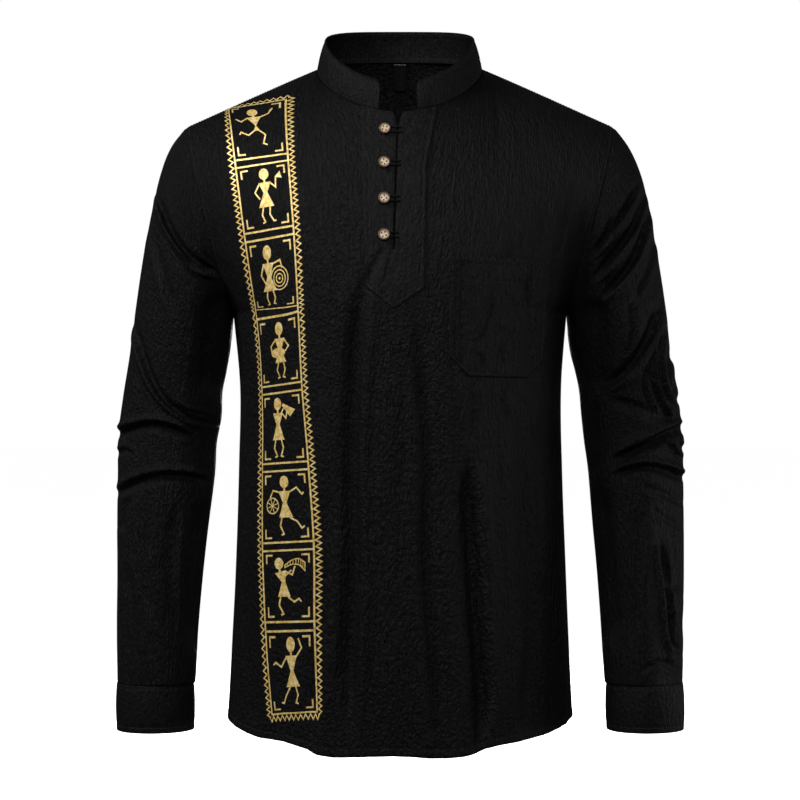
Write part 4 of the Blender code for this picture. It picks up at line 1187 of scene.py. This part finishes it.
# Small lozenges of thread along a run of points, each lying flat on the cloth.
def addStitches(bm, points, normals):
    pitch, length, width = thread["pitch"], thread["length"], thread["width"]
    gone = lengthAlong(points)

    def readAt(place, values):
        return np.array([np.interp(place, gone, values[:, axis]) for axis in range(3)])

    count = int(gone[-1] / pitch)
    for number in range(count):
        place = (number + 0.5) * pitch
        spot = readAt(place, points)
        ahead = readAt(place + thread["look"], points) - spot
        out = readAt(place, normals)
        if np.linalg.norm(ahead) < 1e-9:
            continue
        along = Vector(ahead).normalized()
        out = Vector(out)
        out = (out - along * out.dot(along)).normalized()
        across = out.cross(along)
        turn = Matrix((along * (length / 2), across * (width / 2), out * (width / 2))).transposed().to_4x4()
        turn.translation = Vector(spot) + out * width * 0.25
        bmesh.ops.create_icosphere(bm, subdivisions=1, radius=1.0, matrix=turn)


def bodyRun(face, column, row, lift=0.0):
    return surfacePoint(face, column, row, lift), panelNormal(face, column, row)


def mapSides(bm):
    layer = bm.loops.layers.uv.new("cloth")
    for face in bm.faces:
        face.smooth = True
        for corner in face.loops:
            corner[layer].uv = (corner.vert.co.x, corner.vert.co.z)


def frontRun(spot, lift=0.0010):
    return bodyRun("front", *frontPlace(*spot), lift)


def radial(points, middle):
    out = points - middle
    out[:, 2] = 0
    return units(out)


def makeStitches():
    bm = bmesh.new()
    many = np.linspace(0, 1, 400)
    # hem, 8 mm above the edge
    for face in ("front", "back"):
        column = np.linspace(-0.995, 0.995, 400)
        addStitches(bm, *bodyRun(face, column, np.full(400, thread["hem"] / flatPanel["lower"])))
    # shoulder seams
    for side in (-1, 1):
        column = side * mixed(neck["column"] + 0.01, 0.985, many)
        addStitches(bm, *bodyRun("front", column, np.full(400, 2 - thread["shoulder"] / flatPanel["upper"])))
    # armholes, on the body's side of the seam
    for side in (-1, 1):
        column = np.full(400, side * (1 - thread["armhole"] / flatPanel["halfGirth"]))
        for face in ("front", "back"):
            addStitches(bm, *bodyRun(face, column, mixed(1.01, 1.985, many)))
    # cuffs: below the seam and above the edge
    for side in (-1, 1):
        angle = np.linspace(0, 360, 400)
        for share in (0.06, 0.88):
            points = cuffPoint(side, angle, np.full(400, share))
            addStitches(bm, points, radial(points, np.array((side * cuff["x"], cuff["y"], 0))))
    # collar: along the neck seam, the rim and both ends
    ends = collar["end"] - 1.6
    angle = np.linspace(-ends, ends, 600)
    for share in (0.085, 0.875):
        points = collarPoint(angle, np.full(600, share))
        addStitches(bm, points, radial(points, np.array((0, 0, 0))))
    angle = np.linspace(-78, 78, 300)
    points = collarPoint(angle, np.full(300, 0.10), -0.0021)
    addStitches(bm, points, -radial(points, np.array((0, 0, 0))))
    for side in (-1, 1):
        share = np.linspace(0.1, 0.86, 100)
        points = collarPoint(np.full(100, side * ends), share)
        addStitches(bm, points, radial(points, np.array((0, 0, 0))))
    # front band: outer edges, tail and beside the slit
    rise = np.linspace(0.0, 0.985, 300)
    for right, share in ((True, 0.90), (False, 0.90), (True, 0.10), (False, 0.12)):
        addStitches(bm, *frontRun(placketSpot(np.full(300, right), np.full(300, share), rise)))
    for right in (True, False):
        onSide = np.full(100, right)
        addStitches(bm, *frontRun(placketSpot(onSide, np.full(100, 0.90), np.linspace(0.0, -0.92, 100))))
        addStitches(bm, *frontRun(placketSpot(onSide, np.linspace(0.02, 0.9, 100), np.full(100, -0.93))))
    # pocket: sides and foot, then the top hem
    inset = 0.035
    for share in (inset, 1 - inset):
        addStitches(bm, *frontRun(pocketSpot(np.full(300, share), np.linspace(0.035, 0.985, 300))))
    inside = mixed(inset, 1 - inset, many)
    addStitches(bm, *frontRun(pocketSpot(inside, np.full(400, 0.030))))
    for rise in (0.795, 0.985):
        addStitches(bm, *frontRun(pocketSpot(inside, np.full(400, rise)), 0.0011))
    mapSides(bm)
    return placePiece("stitches", closeMesh("stitches", bm), threadCotton)


stitches = makeStitches()
print("stitches sewn")


# Gold print
# The strip's inner frame in pixels at the top, at the seven dividers and at the foot.
strip = {
    "left": ((228.7, 109), (235.4, 164.5), (244.9, 238.3), (256.2, 314.5), (262, 391.2),
             (262.5, 468.2), (263, 547.4), (265.8, 626.9), (272.4, 716.7)),
    "right": ((286, 99.5), (288, 156.9), (293.7, 229.7), (298, 307.9), (302, 385.6),
              (308.7, 465.1), (313.9, 544.9), (313.9, 625.8), (316.4, 711.7)),
    "halfWidth": 29.5,
    "halfHeight": 39.0,
    "line": 1.9,
    "thin": 1.5,
    "lift": 0.00022,
}


# The figures are drawn afresh from plain shapes: x to the right and y up from a panel's middle, in mm.
# head: x, y, half width, half height. shapes: filled corners. lines: joined limbs. rings: x, y, radii.
figures = (
    {
        "head": (-3, 23, 5.4, 6.0),
        "shapes": (((-10, 15), (6, 16), (-1, 2)), ((-1, 3), (3, -4), (-4, -4))),
        "lines": (((5, 15), (13, 19), (17, 27)), ((-9, 14), (-16, 9), (-22, 13)),
                  ((1, -3), (8, -10), (5, -20), (9, -22)), ((-2, -3), (-10, -9), (-18, -5), (-20, -8))),
    },
    {
        "head": (1, 24, 5.4, 6.2),
        "shapes": (((-6, 15), (8, 15), (3, 3), (-1, 3)), ((-1, 4), (3, 4), (10, -12), (-8, -12)),
                   ((13, 19), (19, 25), (21, 17))),
        "lines": (((7, 14), (13, 8), (14, 19)), ((-5, 14), (-11, 5), (-6, -3)),
                  ((-3, -12), (-5, -20), (-2, -27), (-5, -28)), ((5, -12), (4, -20), (8, -27), (11, -27))),
    },
    {
        "head": (-4, 23, 5.2, 6.4),
        "shapes": (((-11, 14), (3, 14), (-2, 2), (-6, 2)), ((-6, 3), (-2, 3), (5, -12), (-13, -12))),
        "lines": (((2, 13), (11, 15), (13, 8)), ((-10, 13), (-14, 4), (-9, -4)),
                  ((-8, -12), (-9, -20), (-6, -28), (-9, -29)), ((0, -12), (2, -20), (0, -27), (3, -28))),
        "rings": ((9, -1, 10.5, 11.0), (9, -1, 7.2, 7.6), (9, -1, 4.0, 4.2)),
        "dots": ((9, -1, 1.3, 1.3),),
    },
    {
        "head": (3, 24, 5.2, 6.2),
        "shapes": (((-4, 15), (10, 15), (5, 3), (1, 3)), ((1, 4), (5, 4), (11, -11), (-5, -11))),
        "lines": (((9, 14), (15, 6), (10, 1)), ((-3, 14), (-10, 8), (-9, 1)),
                  ((0, -11), (-3, -19), (1, -27), (-2, -28)), ((7, -11), (9, -19), (6, -27), (9, -28))),
        "dots": ((0, 0, 10.0, 5.6),),
    },
    {
        "head": (-5, 24, 5.2, 6.2),
        "shapes": (((-12, 15), (2, 15), (-3, 3), (-7, 3)), ((-7, 4), (-3, 4), (3, -12), (-13, -12)),
                   ((1, 22), (3, 24), (19, 17), (12, 10))),
        "lines": (((1, 14), (6, 9), (8, 16)), ((-11, 14), (-5, 8), (3, 19)),
                  ((-9, -12), (-11, -20), (-7, -28), (-10, -29)), ((-1, -12), (1, -20), (-2, -28), (1, -29))),
    },
    {
        "head": (0, 24, 5.2, 6.2),
        "shapes": (((-7, 15), (7, 15), (2, 3), (-2, 3)), ((-2, 4), (2, 4), (9, -11), (-7, -11))),
        "lines": (((6, 14), (14, 18), (20, 11), (22, 13)), ((-6, 14), (-14, 16), (-18, 9)),
                  ((-4, -11), (-6, -19), (-2, -27), (-5, -28)), ((5, -11), (13, -15), (18, -22), (21, -20))),
        "rings": ((-15, 1, 7.6, 7.6),),
        "hatch": (-15, 1, 7.0, 4),
    },
    {
        "head": (-9, 22, 5.2, 6.0),
        "shapes": (((-14, 12), (-1, 15), (-2, 2), (-5, 1)), ((-6, 3), (-2, 3), (4, -12), (-11, -12))),
        "lines": (((-2, 14), (6, 10), (9, 19)), ((-12, 12), (-4, 7), (5, 15)),
                  ((-8, -12), (-10, -20), (-5, -28), (-8, -29)), ((1, -12), (8, -17), (13, -14), (16, -17))),
        "horn": ((-2, 19), (6, 23), (14, 23), (20, 18), 1.2, 4.2),
    },
    {
        "head": (2, 24, 5.2, 6.4),
        "shapes": (((-5, 15), (9, 15), (4, 2), (1, 2)), ((1, 3), (4, 3), (11, -12), (-6, -12))),
        "lines": (((8, 14), (15, 21), (11, 29)), ((-4, 14), (-11, 6), (-18, 10), (-21, 8)),
                  ((-1, -12), (-7, -20), (-11, -28), (-14, -27)), ((6, -12), (8, -20), (5, -28), (8, -29))),
    },
)


# A flat ribbon of one width along a line of corners, mitred where it bends.
def addRibbon(bm, corners, width, closed=False):
    corners = [Vector((x, y, 0)) for x, y in corners]
    count = len(corners)
    pairs = []
    for number, corner in enumerate(corners):
        before = corners[number - 1] if number or closed else None
        after = corners[(number + 1) % count] if number < count - 1 or closed else None
        first = (corner - before).normalized() if before is not None else (after - corner).normalized()
        second = (after - corner).normalized() if after is not None else first
        side = Vector((-(first + second).y, (first + second).x, 0))
        side = side.normalized() if side.length > 1e-6 else Vector((-first.y, first.x, 0))
        reach = width / 2 / max(abs(side.dot(Vector((-first.y, first.x, 0)))), 0.45)
        pairs.append((bm.verts.new(corner + side * reach), bm.verts.new(corner - side * reach)))
    for number in range(count if closed else count - 1):
        a, b = pairs[number], pairs[(number + 1) % count]
        bm.faces.new((a[0], a[1], b[1], b[0]))


def addSpot(bm, x, y, halfWidth, halfHeight):
    place = Matrix.Translation((x, y, 0)) @ Matrix.Diagonal((halfWidth, halfHeight, 1, 1))
    bmesh.ops.create_circle(bm, cap_ends=True, segments=24, radius=1.0, matrix=place)


def ringLine(x, y, halfWidth, halfHeight):
    turns = [math.radians(15 * step) for step in range(24)]
    return [(x + halfWidth * math.cos(turn), y + halfHeight * math.sin(turn)) for turn in turns]


def zigzag(start, end, out, teeth, inner, outer):
    corners = []
    for step in range(teeth * 2 + 1):
        share = step / (teeth * 2)
        reach = outer if step % 2 else inner
        corners.append([mixed(start[axis], end[axis], share) + out[axis] * reach for axis in (0, 1)])
    return corners


# Draws the whole strip flat: x in mm from its middle line, y in mm down from the top frame line.
def drawStrip():
    bm = bmesh.new()
    half = strip["halfWidth"]
    tall = strip["halfHeight"]
    total = tall * 2 * len(figures)
    addRibbon(bm, ((-half, 0), (half, 0), (half, -total), (-half, -total)), strip["line"], closed=True)
    for number, figure in enumerate(figures):
        middle = -tall * (2 * number + 1)
        for side in (-1, 1):
            edge = middle + side * (tall - 3.9)
            if 0 < number or side < 0:
                if number < len(figures) - 1 or side > 0:
                    addRibbon(bm, ((-half, edge), (half, edge)), strip["line"])
            for flank in (-1, 1):
                x = flank * (half - 5.2)
                atEnd = (number == 0 and side > 0) or (number == len(figures) - 1 and side < 0)
                inset = 5.0 if atEnd else 8.6
                y = middle + side * (tall - inset)
                addRibbon(bm, ((x - flank * 8, y), (x, y), (x, y - side * 8.5)), 1.8)
        addSpot(bm, figure["head"][0], middle + figure["head"][1], *figure["head"][2:])
        for x, y, wide, high in figure.get("dots", ()):
            addSpot(bm, x, middle + y, wide, high)
        for corners in figure["shapes"]:
            bm.faces.new([bm.verts.new((x, middle + y, 0)) for x, y in corners])
        for corners in figure["lines"]:
            addRibbon(bm, [(x, middle + y) for x, y in corners], 1.7)
        neckFoot = figure["shapes"][0]
        addRibbon(bm, ((figure["head"][0], middle + figure["head"][1] - 4),
                       ((neckFoot[0][0] + neckFoot[1][0]) / 2, middle + neckFoot[0][1] - 1)), 2.2)
        for x, y, wide, high in figure.get("rings", ()):
            addRibbon(bm, ringLine(x, middle + y, wide, high), 1.2, closed=True)
        if "hatch" in figure:
            x, y, wide, count = figure["hatch"]
            for step in range(count):
                turn = math.pi * step / count + 0.3
                addRibbon(bm, ((x - wide * math.cos(turn), middle + y - wide * math.sin(turn)),
                               (x + wide * math.cos(turn), middle + y + wide * math.sin(turn))), 0.9)
        if "horn" in figure:
            *knots, thinEnd, wideEnd = figure["horn"]
            upper, lower = [], []
            for step in range(9):
                share = step / 8
                x, y = smoothThrough(np.linspace(0, 1, 4), knots, np.array((share,)))[0]
                reach = mixed(thinEnd, wideEnd, share)
                upper.append((x, middle + y + reach))
                lower.append((x, middle + y - reach))
            addRibbon(bm, upper + lower[::-1], 1.1, closed=True)
            for first, second in list(zip(upper, lower))[1:-1]:
                addRibbon(bm, (first, second), 0.8)
    for side in (-1, 1):
        addRibbon(bm, zigzag((side * half, 3), (side * half, -total - 3), (side, 0), 104, 2.0, 7.0), 1.35)
    addRibbon(bm, zigzag((-half - 4, 0), (half + 4, 0), (0, 1), 11, 2.0, 7.0), 1.35)
    addRibbon(bm, zigzag((-half - 4, -total), (half + 4, -total), (0, -1), 11, 2.0, 8.0), 1.35)
    return bm, total


def makePrint():
    bm, total = drawStrip()
    bmesh.ops.triangulate(bm, faces=bm.faces)
    for _ in range(6):
        longEdges = [edge for edge in bm.edges if edge.calc_length() > 2.4]
        if not longEdges:
            break
        bmesh.ops.subdivide_edges(bm, edges=longEdges, cuts=1)
        bmesh.ops.triangulate(bm, faces=[face for face in bm.faces if len(face.verts) > 3])
    for face in bm.faces:
        if face.normal.z < 0:
            face.normal_flip()
    mesh = closeMesh("goldPrint", bm)
    flat = vertexPlaces(mesh)
    knots = np.arange(len(figures) + 1)
    down = -flat[:, 1] / (strip["halfHeight"] * 2)
    share = (flat[:, 0] / strip["halfWidth"] + 1) / 2
    # across each divider: evenly spaced over the cloth, straight as seen from the front
    count = 9
    marks = np.linspace(-0.15, 1.15, count)
    grid = np.empty((len(knots), count, 2))
    fine = np.linspace(-0.3, 1.3, 161)
    for knot, (start, end) in enumerate(zip(strip["left"], strip["right"])):
        seen = mixed(np.array(start, dtype=float), np.array(end, dtype=float), fine[:, None])
        column, row = pixelPlace(seen)
        points = panelPoint("front", column, row)
        gone = lengthAlong(points)
        first, last = np.interp((0, 1), fine, gone)
        for number, mark in enumerate(marks):
            place = mixed(first, last, mark)
            grid[knot, number] = (np.interp(place, gone, column), np.interp(place, gone, row))
    places = np.empty((len(flat), 2))
    for axis in (0, 1):
        rows = smoothThrough(knots, grid[:, :, axis], down)
        spot = np.clip((share - marks[0]) / (marks[-1] - marks[0]) * (count - 1), 0, count - 1.0001)
        index = spot.astype(int)
        t = spot - index
        each = np.arange(len(flat))
        before = rows[each, np.maximum(index - 1, 0)]
        start, end = rows[each, index], rows[each, index + 1]
        after = rows[each, np.minimum(index + 2, count - 1)]
        slopeA = np.where(index > 0, (end - before) / 2, end - start)
        slopeB = np.where(index < count - 2, (after - start) / 2, end - start)
        places[:, axis] = eased(t, start, slopeA, end, slopeB)
    points = surfacePoint("front", places[:, 0], np.clip(places[:, 1], 0, 1.998), strip["lift"])
    setCloth(mesh, points, flat[:, 0] * 0.001, flat[:, 1] * 0.001)
    print("gold print:", len(mesh.polygons), "faces")
    return placePiece("goldPrint", mesh, foil)


goldPrint = makePrint()
print("print laid")


# Buttons, loops and label
button = {"x": (-0.0152, -0.0158, -0.0160, -0.0160), "z": (-0.0828, -0.1179, -0.1548, -0.1917)}
button.update(radius=6.1, thick=2.6, hole=0.95, holeAt=1.75, back=0.0035)
holePlaces = [(x * button["holeAt"], y * button["holeAt"]) for x in (-1, 1) for y in (-1, 1)]
loop = {"radius": 0.0009, "halfWidth": 0.0029, "endHalfWidth": 0.0023, "endX": 0.0012, "lift": 0.0025}


# The axes of a place on the front: across to the right, up, and out of the cloth.
def frontAxes(x, z):
    column, row = frontPlace(np.array((x,)), np.array((z,)))
    out = panelNormal("front", column, row)[0]
    across = np.cross((0.0, 0.0, 1.0), -out)
    across = across / np.linalg.norm(across)
    up = -np.cross(out, across)
    point = panelPoint("front", column, row)[0]
    turn = Matrix((Vector(across), Vector(up), Vector(out))).transposed().to_4x4()
    turn.translation = Vector(point)
    return turn


def finishedMesh(obj):
    bpy.context.view_layer.update()
    return bpy.data.meshes.new_from_object(obj.evaluated_get(bpy.context.evaluated_depsgraph_get()))


# One button in mm about its own middle: turned on the lathe, then drilled four times.
def turnButton():
    radius, thick = button["radius"], button["thick"]
    # shares of its radius and thickness, from the middle of its back over the rim to the dish
    profile = ((0, 0), (0.60, 0), (0.86, 0.18), (0.99, 0.5), (1, 0.68), (0.95, 0.92), (0.87, 1),
               (0.79, 0.96), (0.70, 0.80), (0.58, 0.70), (0, 0.66))
    bm = bmesh.new()
    line = [bm.verts.new((radius * out, 0, thick * rise)) for out, rise in profile]
    edges = [bm.edges.new(pair) for pair in zip(line[:-1], line[1:])]
    bmesh.ops.spin(
        bm, geom=line + edges, cent=(0, 0, 0), axis=(0, 0, 1), angle=2 * math.pi, steps=48, use_merge=True
    )
    bmesh.ops.remove_doubles(bm, verts=bm.verts, dist=1e-4)
    bmesh.ops.recalc_face_normals(bm, faces=bm.faces)
    if bm.calc_volume(signed=True) < 0:
        bmesh.ops.reverse_faces(bm, faces=bm.faces[:])
    blank = bpy.data.objects.new("buttonBlank", closeMesh("buttonBlank", bm))
    bm = bmesh.new()
    for x, y in holePlaces:
        place = Matrix.Translation((x, y, thick / 2))
        bmesh.ops.create_cone(
            bm, cap_ends=True, segments=16, radius1=button["hole"], radius2=button["hole"],
            depth=thick * 2, matrix=place,
        )
    drill = bpy.data.objects.new("buttonDrill", closeMesh("buttonDrill", bm))
    for obj in (blank, drill):
        bpy.context.scene.collection.objects.link(obj)
    cut = blank.modifiers.new("holes", "BOOLEAN")
    cut.operation = "DIFFERENCE"
    cut.object = drill
    done = finishedMesh(blank)
    for obj in (blank, drill):
        bpy.data.objects.remove(obj, do_unlink=True)
    return done


blankButton = turnButton()


# What was drawn in mm, set down in metres at its place.
def setDown(bm, place):
    bmesh.ops.scale(bm, vec=(0.001, 0.001, 0.001), verts=bm.verts)
    bmesh.ops.transform(bm, matrix=place, verts=bm.verts)


def makeButton(number):
    axes = frontAxes(button["x"][number], button["z"][number])
    mesh = blankButton.copy()
    bm = bmesh.new()
    bm.from_mesh(mesh)
    layer = bm.loops.layers.uv.get("cloth") or bm.loops.layers.uv.new("cloth")
    for face in bm.faces:
        for corner in face.loops:
            away = math.hypot(corner.vert.co.x, corner.vert.co.y) / button["radius"]
            corner[layer].uv = (away, corner.vert.co.z)
    turn = Matrix.Rotation(0.2 + 0.35 * number, 4, "Z")
    place = axes @ Matrix.Translation((0, 0, button["back"])) @ turn
    setDown(bm, place)
    bm.to_mesh(mesh)
    bm.free()
    mesh.name = f"button{number + 1}"
    placePiece(f"buttonShell{number + 1}", mesh, shell, (f"button_{number + 1}",))
    mesh.set_sharp_from_angle(angle=math.radians(40))
    # the thread that holds it: a knot down each hole, and the shank behind
    bm = bmesh.new()
    for x, y in holePlaces:
        knot = Matrix.Translation((x, y, button["thick"] * 0.40))
        bmesh.ops.create_icosphere(bm, subdivisions=2, radius=0.86, matrix=knot)
    bmesh.ops.create_cone(
        bm, cap_ends=True, segments=16, radius1=1.5, radius2=1.3, depth=2.6,
        matrix=Matrix.Translation((0, 0, -0.9)),
    )
    setDown(bm, place)
    mapSides(bm)
    name = f"buttonThread{number + 1}"
    placePiece(name, closeMesh(name, bm), threadCotton)


def sweepTube(name, points, radius):
    curve = bpy.data.curves.new(name, "CURVE")
    curve.dimensions = "3D"
    curve.bevel_depth = radius
    curve.bevel_resolution = 2
    curve.use_fill_caps = True
    spline = curve.splines.new("POLY")
    spline.points.add(len(points) - 1)
    for knot, point in zip(spline.points, points):
        knot.co = (*point, 1.0)
    holder = bpy.data.objects.new(name, curve)
    bpy.context.scene.collection.objects.link(holder)
    mesh = finishedMesh(holder)
    bpy.data.objects.remove(holder, do_unlink=True)
    return mesh


def makeLoop(number):
    x, z = button["x"][number], button["z"][number]
    endX = float(slitX(z)) + slit["halfGap"] + loop["endX"]
    knots = [(endX + 0.0026, z + loop["endHalfWidth"] * 0.9), (endX, z + loop["endHalfWidth"])]
    for degrees in range(90, 271, 20):
        turn = math.radians(degrees)
        knots.append((x + loop["halfWidth"] * math.cos(turn), z + loop["halfWidth"] * math.sin(turn)))
    knots.extend([(endX, z - loop["endHalfWidth"]), (endX + 0.0026, z - loop["endHalfWidth"] * 0.9)])
    knots = np.array(knots)
    line = smoothThrough(np.linspace(0, 1, len(knots)), knots, np.linspace(0, 1, 60))
    column, row = frontPlace(line[:, 0], line[:, 1])
    ends = np.clip(np.minimum(np.arange(60), 59 - np.arange(60)) / 6, 0, 1)
    lift = mixed(0.0012, loop["lift"], ease(ends))
    points = surfacePoint("front", column, row, lift)
    mesh = sweepTube(f"loopCord{number + 1}", points, loop["radius"])
    places = vertexPlaces(mesh)
    setCloth(mesh, places, places[:, 0], places[:, 2])
    return placePiece(f"loopCord{number + 1}", mesh, smoothCotton, (f"loop_{number + 1}",))


for number in range(4):
    makeButton(number)
    makeLoop(number)
print("buttons and loops on")

label = {"width": 0.014, "length": 0.028, "drop": 0.0030, "clear": 0.0033}


def makeLabel():
    mesh, across, up = gridMesh("neckLabel", 16, 30)
    angle = np.degrees(across / 2 * label["width"] / neck["halfWidth"])
    column = angle / neck["seam"] * neck["column"]
    z = neckPoint(0)[0, 2] - label["drop"] - label["length"] * (1 - up) / 2
    low = np.full(len(z), 1.0)
    high = np.full(len(z), 2.0)
    for _ in range(30):
        guess = (low + high) / 2
        above = panelPoint("back", column, guess)[:, 2] > z
        high = np.where(above, guess, high)
        low = np.where(above, low, guess)
    points = panelPoint("back", column, low)
    points[:, 1] -= label["clear"] + 0.0008 * np.cos(across * 2.2) * (1 - up) / 2
    setCloth(mesh, points, across * label["width"] / 2, up * label["length"] / 2)
    faceOut(mesh, (0.0, 1.0))
    return placePiece("neckLabelSatin", mesh, satin, ("neck_label",), 0.0006)


neckLabel = makeLabel()
print("label in")
